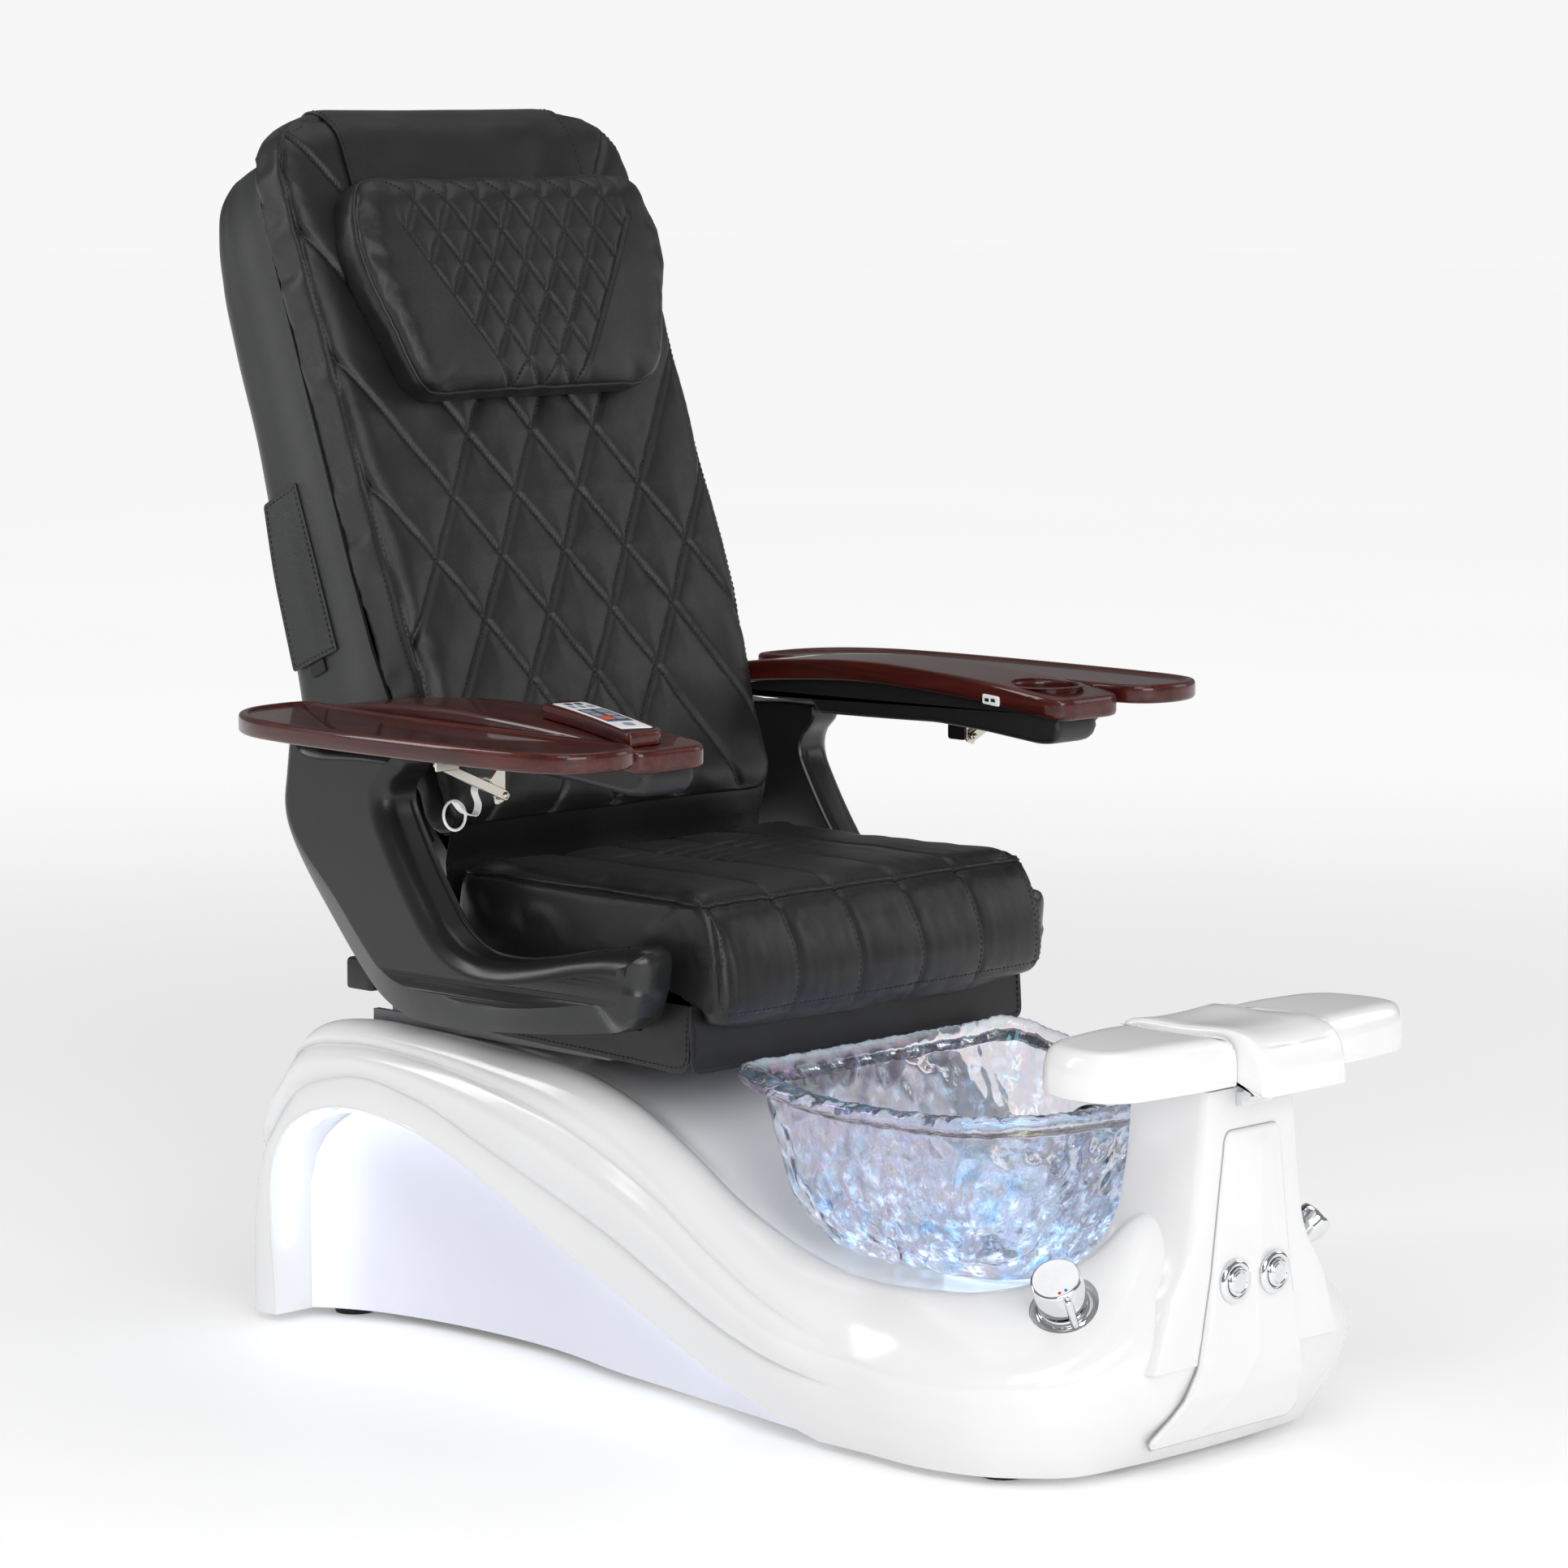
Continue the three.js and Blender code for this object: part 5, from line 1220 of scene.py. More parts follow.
def make_seat():
    """The seat cushion with its sewn channels, stitches and piping."""
    outline = spline(SEAT_SIDE, 120, closed=True)
    loops = []
    for x, inset in ((-252, 15), (-250.5, 8.5), (-246.5, 3.5), (-239, 0.8), (-225, 0), (-120, 0), (0, 0), (120, 0),
                     (225, 0), (239, 0.8), (246.5, 3.5), (250.5, 8.5), (252, 15)):
        p = inset_loop(outline, inset)
        loops.append(np.stack([np.full(len(p), float(x)), p[:, 0], p[:, 1]], axis=1))
    ob = tidy_mesh(loft("seat_pad", loops))
    inflate(ob, 6.0, 7)
    p, n = coords(ob), normals(ob)
    x, y, z = p.T
    # keep to the room the pan, the side panels and the back leave
    z = np.where((z < 438) & (y > -198), np.maximum(z, PAN_TOP + 1.2), z)
    x = np.clip(x, -262, 262)
    y = np.clip(y, -252, 176)
    z = np.clip(z, 407, 560)
    p = np.stack([x, y, z], axis=1)
    top = smooth_step(n[:, 2], 0.35, 0.8)
    face = smooth_step(-n[:, 1], 0.35, 0.8)
    side = smooth_step(np.abs(n[:, 0]), 0.4, 0.8)
    deep = np.zeros(len(p))
    draw_in = 1 - 0.0000028 * np.maximum(y + 60, 0) ** 2
    for c in RIBS:
        strong = 6.5 if abs(c) < 200 else 4.0
        deep += crease(np.abs(x - c * draw_in), strong, 3.2, 17.0, 0.42) * np.maximum(top * 0.9, face * 0.42)
    # cross ribs near the back of the middle channels
    for k in range(5):
        yc = 60 - k * 27
        d = np.abs(y - (yc + 6 * np.cos(x / 30)))
        inside = 1 - smooth_step(np.abs(x), 100, 138)
        deep += crease(d, 4.2, 3.0, 8.0) * top * inside * (1 - 0.16 * k)
    # the seam along the front top edge, and the one round the bottom of the front
    along_edge = np.abs((y + 207) * 0.72 + (z - 545) * 0.69)
    across_edge = np.abs((y + 207) * 0.69 - (z - 545) * 0.72)
    near = np.exp(-(along_edge / 26) ** 2)
    deep += crease(across_edge, 6.0, 3.0, 9.0) * near
    low = np.hypot(y + 240, z - 424)
    deep += 5.0 * np.exp(-(low / 5.0) ** 2)
    # seams between the side panels and the top and front
    deep += crease(np.abs(z - 541), 3.2, 2.4, 6.0) * side * smooth_step(y, -210, -185)
    front_line = -214 - 14 * smooth_step(z, 540, 470)
    deep += crease(np.abs(y - front_line), 3.6, 2.4, 7.0) * side * smooth_step(z, 415, 440)
    # short puckers run away from the stitched seams, and long ones cross the side panels
    pucker = value_noise(p * (1, 0.25, 1) + 70, 9) * 1.1 * top + value_noise(p * (1, 1, 0.28) + 310, 9) * face
    long_folds = value_noise(p * (1, 0.16, 1.0) + 30, 22) * 2.2 * side
    soft = value_noise(p + 800, 55) * 1.6
    near_line = np.clip(deep / 6, 0, 1)
    p = p - n * (deep + pucker * (0.35 + 0.65 * near_line) + soft)[:, None]
    p += np.stack([np.sign(x) * long_folds, np.zeros(len(p)), np.zeros(len(p))], axis=1) * 0.6
    p[:, 2] = np.where((p[:, 1] > -198) & (z < 438), np.maximum(p[:, 2], PAN_TOP + 0.2), p[:, 2])
    set_coords(ob, p)
    finish_piece(ob, VINYL, "seat", ["seat_cushion"])
    skin = Skin(ob)

    runs = []
    for c in RIBS:
        beside = c - 2.6
        runs += laid(skin, [(beside, y, 640) for y in np.arange(-205, 120, STEP)], (0, 0, -1))
        runs += laid(skin, [(beside, -330, z) for z in np.arange(428, 528, STEP)], (0, 1, 0))
    for shift in (-6.5, 6.5):
        starts = [(x, -277 + shift * 0.7, 615 + shift * 0.7) for x in np.arange(-246, 247, STEP)]
        runs += laid(skin, starts, (0, 0.707, -0.707))
    for s in (-1, 1):
        runs += laid(skin, [(s * 330, y, 546) for y in np.arange(-190, 150, STEP)], (-s, 0, -0.12))
        for off in (-5, 6):
            runs += laid(skin, [(s * 330, -214 + off - 14 * smooth_step(z, 540, 470), z)
                                for z in np.arange(428, 532, STEP)], (-s, 0, 0))
    runs += laid(skin, [(x, -330, 431) for x in np.arange(-240, 241, STEP)], (0, 1, 0))
    thread = stitch_mesh("seat_stitching", runs)
    finish_piece(thread, THREAD, "seat")

    # piping in the two long seams
    for s, tag in ((-1, "right"), (1, "left")):
        path, norm = laid(skin, [(s * 330, y, 541) for y in np.arange(-198, 158, 4.0)], (-s, 0, 0))[0]
        piping = sweep(f"seat_piping_{tag}", path + norm * 0.9, circle(2.0, 10))
        finish_piece(piping, VINYL, "seat")
    path, norm = laid(skin, [(x, -277, 615) for x in np.arange(-244, 245, 4.0)], (0, 0.707, -0.707))[0]
    finish_piece(sweep("seat_front_welt", path + norm * 0.5, circle(2.2, 10)), VINYL, "seat")
    make_skirts()
    make_rear_cover()


FINE_PARTS = (0.9, 0.8, 0.7, 0.6, 0.5, 0.4, 0.3, 0.2, 0.1)     # many rings from an edge in to the spine


def sheet_piece(name, outline, place, thick, wave=0.0, seed=0):
    """A thin stitched sheet. outline in its own (u, v); place(u, v, w) gives design points."""
    outline = np.asarray(outline, float)
    centre = outline.mean(axis=0)
    rim = [(0.6, 0.0), (0, 0.35 * thick), (0, 0.65 * thick), (0.6, thick)]
    span = outline.max(axis=0) - outline.min(axis=0)
    if span[0] > span[1]:
        spine = [(outline[:, 0].min() + span[1] * 0.5, centre[1]), (outline[:, 0].max() - span[1] * 0.5, centre[1])]
    else:
        spine = [(centre[0], outline[:, 1].min() + span[0] * 0.5), (centre[0], outline[:, 1].max() - span[0] * 0.5)]

    def bent(loop):
        u, v, w = loop.T
        q = np.stack([u, v, np.full(len(u), seed * 100.0)], axis=1)
        return place(u, v, w + wave * (value_noise(q, 70) + 0.4 * value_noise(q, 28)))
    return slab(name, outline, rim, spine, bent, FINE_PARTS, FINE_PARTS)


def edge_stitches(name, outline, inset, place, body, skip=None, height=0.0):
    """Stitches round a sheet, inset from its edge; skip(u, v) is true where there are none."""
    ring = inset_loop(outline, inset)
    fine = resample(np.vstack([ring, ring[:1]]), STEP, closed=False)
    p = place(fine[:, 0], fine[:, 1], np.full(len(fine), height))
    q = place(fine[:, 0], fine[:, 1], np.full(len(fine), height + 5.0))
    n = q - p
    n /= np.linalg.norm(n, axis=1)[:, None]
    keep = np.ones(len(fine), bool) if skip is None else ~skip(fine[:, 0], fine[:, 1])
    runs, start = [], None
    for k, on in enumerate(list(keep) + [False]):
        if on and start is None:
            start = k
        elif not on and start is not None:
            if k - start > 3:
                runs.append((p[start:k], n[start:k]))
            start = None
    finish_piece(stitch_mesh(name, runs), THREAD, body)


def make_skirts():
    """The vinyl skirts that hang round the seat pan."""
    outline = resample(round_corners([(-254, 364), (254, 364), (254, 437), (-254, 437)], [14, 14, 2, 2]), 6)

    def front(u, v, w):
        sag = 5.0 * np.sin(u / 95.0) * smooth_step(v, 437, 362) * 0.35 + 3.0 * smooth_step(v, 437, 362)
        return np.stack([u, -193.4 - w - sag, v], axis=1)
    ob = sheet_piece("front_skirt_sheet", outline, front, 2.6, wave=0.7, seed=1)
    finish_piece(ob, VINYL, "seat", ["front_skirt"])
    edge_stitches("front_skirt_stitching", outline, 6.0, front, "seat", skip=lambda u, v: v > 424, height=2.9)

    for side, tag in ((1, "left"), (-1, "right")):
        # cut away where the pan's arms cross
        outline = resample(round_corners([(-192, 364), (-60, 368), (120, 374), (120, 403), (-123, 403), (-123, 436),
                                          (-192, 436)], [22, 2, 6, 1, 3, 1, 1]), 5)

        def flank(u, v, w, side=side):
            belly = 1.6 * np.sin(u / 40.0) * smooth_step(v, 430, 366)
            return np.stack([side * (248.2 + w + belly * 0.5 + 1.5 * smooth_step(v, 436, 366)), u, v], axis=1)
        ob = sheet_piece(f"side_skirt_sheet_{tag}", outline, flank, 2.6, wave=0.6, seed=2)
        finish_piece(ob, VINYL, "seat", [f"side_skirt_{tag}"])
        edge_stitches(f"side_skirt_stitching_{tag}", outline, 5.0, flank, "seat",
                      skip=lambda u, v: (v > 428) | ((v > 396) & (u > -130)), height=2.9)


def make_rear_cover():
    outline = round_corners([(-286, 258), (286, 258), (286, 300), (-286, 300)], 7, 5)
    rim = [(3.4, 404), (1.0, 405), (0, 407.5), (0, 433), (0.8, 436), (3.2, 438)]
    ob = slab("rear_cover_box", resample(outline, 12), rim, [(-270, 279), (270, 279)])
    finish_piece(ob, TROUGH, "seat", ["rear_cover"])


# ------------------------------------------------------------------ side panels
PANEL_LUG = [(205, 676), (270, 672), (301, 674), (303, 706), (318, 706), (324, 690)]
PANEL_BACK = spline([(330, 640), (334, 610), (331, 582), (316, 546), (282, 500), (232, 444), (194, 411), (155, 395),
                     (101, 390), (2, 395), (-120, 407), (-180, 418), (-198, 432)], 90)
PANEL_FRONT = spline([(-209, 460), (-212, 492), (-206, 502), (-168, 499), (-108, 489), (-50, 477), (1, 471), (46, 474),
                      (84, 492), (125, 541), (158, 592), (172, 620), (171, 638), (152, 660), (152, 676)], 110)


PANEL_OUT = 346.0               # x of the side panels' outer face


def inner_room(loop):
    """How far each point of a plan can move inwards, from the width of the plan there."""
    n = len(loop)
    inward = inset_loop(loop, 1.0) - loop
    inward /= np.linalg.norm(inward, axis=1)[:, None] + 1e-9
    a, b = loop, np.roll(loop, -1, axis=0)
    across = np.full(n, 200.0)
    for k in range(n):
        p, d = loop[k], inward[k]
        e = b - a
        den = d[0] * e[:, 1] - d[1] * e[:, 0]
        den = np.where(np.abs(den) < 1e-9, 1e-9, den)
        s = ((a[:, 0] - p[0]) * e[:, 1] - (a[:, 1] - p[1]) * e[:, 0]) / den
        u = ((a[:, 0] - p[0]) * d[1] - (a[:, 1] - p[1]) * d[0]) / den
        hit = s[(u >= 0) & (u <= 1) & (s > 1.0)]
        if len(hit):
            across[k] = hit.min()
    room = across * 0.38
    for _ in range(6):
        room = np.minimum(room, (np.roll(room, 1) + np.roll(room, -1)) / 2 + 1.5)
    return room


def toed_in(side, x, p):
    """Places (y, z) of a side panel at x, with the panel's toe drawn in towards the seat."""
    k = smooth_step(p[:, 0], 10, -212)
    return np.stack([side * (x - 24 * k), p[:, 0] + 26 * k, p[:, 1] - 4 * k], axis=1)


def make_side_panels():
    """The moulded panels that carry the armrests."""
    edge = np.vstack([round_corners(PANEL_LUG, 3, 3)[2:-2], PANEL_BACK, PANEL_FRONT])
    keep = [edge[0]]
    for q in edge[1:]:
        if np.linalg.norm(q - keep[-1]) > 1.5:
            keep.append(q)
    edge = resample(keep, 6.0)
    y, z = edge.T
    rear_line, arm_line = (resample(line, 0.5, closed=False) for line in (PANEL_BACK, PANEL_FRONT))
    band = ((1 - smooth_step(nearest(rear_line, edge), 0.5, 8)) * (1 - smooth_step(z, 470, 620))
            * smooth_step(y, -196, -150))
    arm = 1 - smooth_step(nearest(arm_line, edge), 0.5, 6)
    toe = 1 - smooth_step(y, -206, -150)
    roll = 12 + 10 * arm + 6 * toe
    w = np.clip(band * (1 - toe * 0.85), 0, 1)
    section = [(292, 5.0), (292.6, 2.6), (294.4, 0.9), (297, 0), (305, 0), (314, 0)]
    loops = [(np.full(len(edge), x), np.full(len(edge), i)) for x, i in section]
    # the outer edge: a broad bevel along the back and bottom, a rounded roll along the arm
    for s in (0.0, 0.12, 0.28, 0.5, 0.72, 0.88, 1.0):
        a = s * math.pi / 2
        x_round = PANEL_OUT - roll + roll * math.sin(a)
        in_round = roll * (1 - math.cos(a))
        x_band = 326 + 19.0 * s
        in_band = 36.0 * s ** 1.05
        loops.append((x_round * (1 - w) + x_band * w, in_round * (1 - w) + in_band * w))
    loops.append((np.full(len(edge), PANEL_OUT), roll * (1 - w) + 37.5 * w + 1.0))
    room = inner_room(edge)
    for side, tag in ((1, "left"), (-1, "right")):
        rings = []
        for x, i in loops:
            p = inset_loop(edge, np.minimum(i, room))
            soft = (np.clip(np.minimum(i, room) - 2.5, 0, 6) / 6)[:, None] * 0.5
            for _ in range(5):
                p = p * (1 - soft) + (np.roll(p, 1, axis=0) + np.roll(p, -1, axis=0)) / 2 * soft
            rings.append(toed_in(side, x, p))
        n = len(edge)
        points = np.vstack(rings)
        faces = quads(len(rings), n, wrap=True)
        for first in (0, (len(rings) - 1) * n):
            loop = [Vector((q[1], q[2], 0)) for q in points[first:first + n]]
            faces += [tuple(first + k for k in tri) for tri in tessellate_polygon([loop])]
        ob = new_object(f"side_panel_face_{tag}", points, faces)
        tidy_mesh(ob, weld=1e-6, angle=24)
        weigh_normals(ob)
        finish_piece(ob, MOULDING, "seat", [f"side_panel_{tag}"])
        # the raised line that runs up the inner face of the arm
        pick = spline(PANEL_FRONT[18:98], 160)
        path = toed_in(side, 303.0, pick)
        normal_yz = np.gradient(pick, axis=0)
        normal_yz /= np.linalg.norm(normal_yz, axis=1)[:, None]
        out = np.stack([np.zeros(len(pick)), normal_yz[:, 1], -normal_yz[:, 0]], axis=1)
        middle = np.array([60, 560.0])
        flip = np.sign(((middle - pick) * out[:, 1:]).sum(axis=1))
        ridge = sweep(f"side_panel_ridge_{tag}", path + out * flip[:, None] * 0.15, circle(1.6, 10), up=(side, 0, 0))
        finish_piece(ridge, MOULDING, "seat")


# ------------------------------------------------------------------ backrest
BACK_LEVELS = np.array([(84, 246, 104), (110, 253, 108), (240, 258, 110), (300, 265, 110), (430, 268, 110),
                        (560, 270, 110), (720, 272, 110), (800, 273, 109), (850, 268, 106), (875, 252, 102),
                        (895, 224, 96), (908, 190, 88), (912, 176, 84)], float)
BACK_REAR = 50.0                # the plane where the pad meets the shell
SHELL_BACK = np.array([(84, 100), (110, 118), (237, 121), (290, 113), (435, 98), (565, 83), (682, 82), (746, 77),
                       (799, 62), (838, 42), (856, 14)], float)


def back_half(t):
    return np.interp(t, BACK_LEVELS[:, 0], BACK_LEVELS[:, 1])


def make_back_shell():
    """The grained shell behind the backrest cushion, open in front."""
    ts = np.concatenate([np.linspace(84, 800, 60), np.linspace(806, 850, 18)])
    depth = hermite(SHELL_BACK[:, 0], SHELL_BACK[:, 1:], ts)[:, 0]
    rows = []
    for t, d in zip(ts, depth):
        half = 246.0 - 26 * (1 - np.sqrt(np.clip(1 - (max(t - 770, 0) / 86) ** 2, 0, 1)))
        r = min(38.0, d * 0.5)
        ns = np.linspace(BACK_REAR + 2, -(d - r), 22)[:-1]
        flare = np.minimum(back_half(t) - 7 - half, 14) * smooth_step(ns, -30, BACK_REAR)
        side = [(-half - w, n) for n, w in zip(ns, flare)]
        turn = [(-half + r * (1 - math.cos(a)), -(d - r) - r * math.sin(a)) for a in np.linspace(0, math.pi / 2, 12)]
        across = [(x, -d - 4.0 * (1 - (x / half) ** 2)) for x in np.linspace(-half + r, half - r, 30)[1:-1]]
        right = [(-x, n) for x, n in reversed(side + turn)]
        ring = np.array(side + turn + across + right)
        rows.append(from_back(ring[:, 0], np.full(len(ring), t), ring[:, 1]))
    x, t, n = to_back(np.array(rows[-1]))
    for f in (0.9, 0.7, 0.45, 0.2):
        rows.append(from_back(x * (0.5 + 0.5 * f), np.full(len(x), 853.0 - 2 * f), BACK_REAR + (n - BACK_REAR) * f))
    rows = np.array(rows)
    ob = new_object("back_shell_skin", rows.reshape(-1, 3), quads(len(rows), rows.shape[1]))
    tidy_mesh(ob, weld=1e-6, angle=60)
    m = ob.modifiers.new("thickness", "SOLIDIFY")
    m.thickness, m.offset, m.use_even_offset = 0.005, -1, False
    bake(ob)
    p = coords(ob)
    soft = value_noise(p, 120) * 0.9 + value_noise(p + 400, 45) * 0.35
    set_coords(ob, p + normals(ob) * soft[:, None])
    tidy_mesh(ob, weld=0, angle=50)
    finish_piece(ob, SHELL_VINYL, "back", ["back_shell"])
    return ob


def back_loop(half, front, rear, corner):
    """Plan of a cushion level: (x, n), rounded at the two front corners, square at the rear."""
    a = np.linspace(0, math.pi / 2, 9)
    right = [(half - corner + corner * math.sin(s), front - corner * 0.9 + corner * 0.9 * math.cos(s)) for s in a]
    right += [(half, n) for n in np.linspace(front - corner * 0.9, rear, 6)[1:]]
    ring = right + [(x, rear) for x in np.linspace(half, -half, 16)[1:-1]] + [(-x, n) for x, n in reversed(right)]
    return np.array(ring)


def quilt_depth(x, t, limit, slope, pitch, centre_t, lines):
    """Depth of two mirrored families of stitched lines, x = pitch k -/+ (t - centre_t) slope."""
    deep = np.zeros(len(x))
    scale = math.cos(math.atan(slope))
    for sign in (-1, 1):
        for k in lines:
            d = np.abs(x - (pitch * k + sign * (t - centre_t) * slope)) * scale
            deep = np.maximum(deep, crease(d, limit, 3.0, pitch * 0.16, 0.42))
    return deep


QUILT_SLOPE, QUILT_PITCH, QUILT_T = 47.5 / 70.0, 95.0, 378.0
QUILT_LINES = range(-2, 3)
SEAM_IN = 9.0                   # how far the border seam runs in from the backrest's side


def quilt_stitches(skin, ts, slope, pitch, centre_t, lines, ahead, half):
    """Rows of stitches along quilt_depth's lines, as far out as half; ahead is in front of the skin."""
    runs = []
    for sign in (-1, 1):
        for k in lines:
            xs = pitch * k + sign * (ts - centre_t) * slope
            ok = np.abs(xs) < half
            if ok.sum() > 3:
                runs += laid(skin, from_back(xs[ok], ts[ok], np.full(ok.sum(), ahead)), back_way(0, 0, -1))
    return runs


def make_back_cushion():
    """The quilted backrest cushion with its stitches and welts."""
    ts = [84, 87, 94, 108, 150, 200, 260, 320, 380, 440, 500, 560, 620, 680, 740, 790, 830, 856, 876, 892, 903, 909]
    loops = []
    for t in ts:
        half = np.interp(t, BACK_LEVELS[:, 0], BACK_LEVELS[:, 1]) - 2
        front = np.interp(t, BACK_LEVELS[:, 0], BACK_LEVELS[:, 2]) - 2
        lumbar = 6 * math.exp(-((t - 300) / 140) ** 2)
        shrink = np.clip((100 - t) / 16, 0, 1) ** 2 * 9 + np.clip((t - 885) / 24, 0, 1) ** 2 * 14
        ring = back_loop(half - shrink, front + lumbar - shrink * 0.8, BACK_REAR + shrink * 0.6, 15)
        loops.append(from_back(ring[:, 0], np.full(len(ring), float(t)), ring[:, 1]))
    ob = tidy_mesh(loft("back_pad", loops))
    inflate(ob, 6.0, 7)
    p, nrm = coords(ob), normals(ob)
    x, t, n = to_back(p)
    n = np.clip(n, BACK_REAR - 2, 128)
    t = np.clip(t, 80, 918)
    half = back_half(t)
    x = np.clip(x, -(half + 4), half + 4)
    facing = -nrm[:, 1] * math.cos(LEAN) + nrm[:, 2] * math.sin(LEAN)
    front = smooth_step(facing, 0.3, 0.8)
    side = smooth_step(np.abs(nrm[:, 0]), 0.35, 0.8)
    inner = half - SEAM_IN
    within = 1 - smooth_step(np.abs(x), inner - 4, inner + 1)
    fade = smooth_step(t, 60, 95) * (1 - smooth_step(t, 872, 884))
    deep = quilt_depth(x, t, 8.0, QUILT_SLOPE, QUILT_PITCH, QUILT_T, QUILT_LINES) * within * front * fade
    seam = np.abs(np.abs(x) - inner)
    deep += crease(seam, 3.6, 2.4, 6.0) * front * smooth_step(t, 84, 130) * (t < 900)
    deep += crease(np.abs(t - 886), 4.0, 2.4, 8.0) * front
    deep += crease(np.abs(n - 101), 2.6, 2.2, 5.0) * side
    # puckers: fine ones beside the quilting, deeper ones pulled into the side boxing
    q = np.stack([x, t, n], axis=1)
    near_line = np.clip(deep / 5, 0, 1)
    wrinkle = value_noise(q * (1, 1, 0.3) + 50, 11) * 0.8 * near_line
    wrinkle += value_noise(q + 250, 40) * 1.6 * front
    folds = value_noise(q * (0.3, 1, 0.3) + 120, 21)
    folds = np.sign(folds) * np.abs(folds) ** 0.8
    boxing = side * np.exp(-((n - 70) / 22) ** 2)
    q[:, 2] -= (deep + wrinkle) * front
    q[:, 0] -= np.sign(x) * side * deep * 0.8
    q[:, 0] += np.sign(x) * folds * 3.4 * boxing * smooth_step(t, 110, 180)
    q[:, 2] = np.maximum(q[:, 2], BACK_REAR - 2)
    set_coords(ob, from_back(q[:, 0], q[:, 1], q[:, 2]))
    finish_piece(ob, VINYL, "back", ["back_cushion"])
    skin = Skin(ob)

    into, ahead = back_way(0, 0, -1), 200.0
    ts = np.arange(92, 872, STEP)
    runs = quilt_stitches(skin, ts, QUILT_SLOPE, QUILT_PITCH, QUILT_T, QUILT_LINES, ahead,
                          back_half(ts) - SEAM_IN - 2)
    ts = np.arange(96, 888, STEP)
    for s, tag in ((-1, "right"), (1, "left")):
        runs += laid(skin, from_back(s * (back_half(ts) - SEAM_IN - 5), ts, np.full(len(ts), ahead)), into)
        path, norm = laid(skin, from_back(s * (back_half(ts) - SEAM_IN + 1), ts, np.full(len(ts), ahead)), into)[0]
        welt = sweep(f"back_welt_{tag}", spline(path[::3] + norm[::3] * 0.3, 300), circle(1.9, 10))
        finish_piece(welt, VINYL, "back")
        runs += laid(skin, from_back(np.full(len(ts), s * 400.0), ts, np.full(len(ts), 97.0)), back_way(-s, 0, 0))
    finish_piece(stitch_mesh("back_stitching", runs), THREAD, "back")
    return skin


PILLOW_SLOPE, PILLOW_PITCH, PILLOW_T = 23.5 / 36.0, 47.0, 552.0
PILLOW_LINES = range(-9, 10)
PILLOW = np.array([(548, 150, 138, 112), (553, 168, 146, 110), (562, 184, 154, 109), (580, 193, 158, 108),
                   (640, 212, 163, 108), (700, 231, 166, 108), (722, 233, 166, 108), (760, 226, 166, 108),
                   (784, 218, 164, 108), (797, 206, 158, 109), (804, 188, 150, 110), (807, 172, 144, 112)], float)


def pillow_seam(t):
    front, rear = (np.interp(t, PILLOW[:, 0], PILLOW[:, k]) for k in (2, 3))
    return rear + 0.74 * (front - rear)


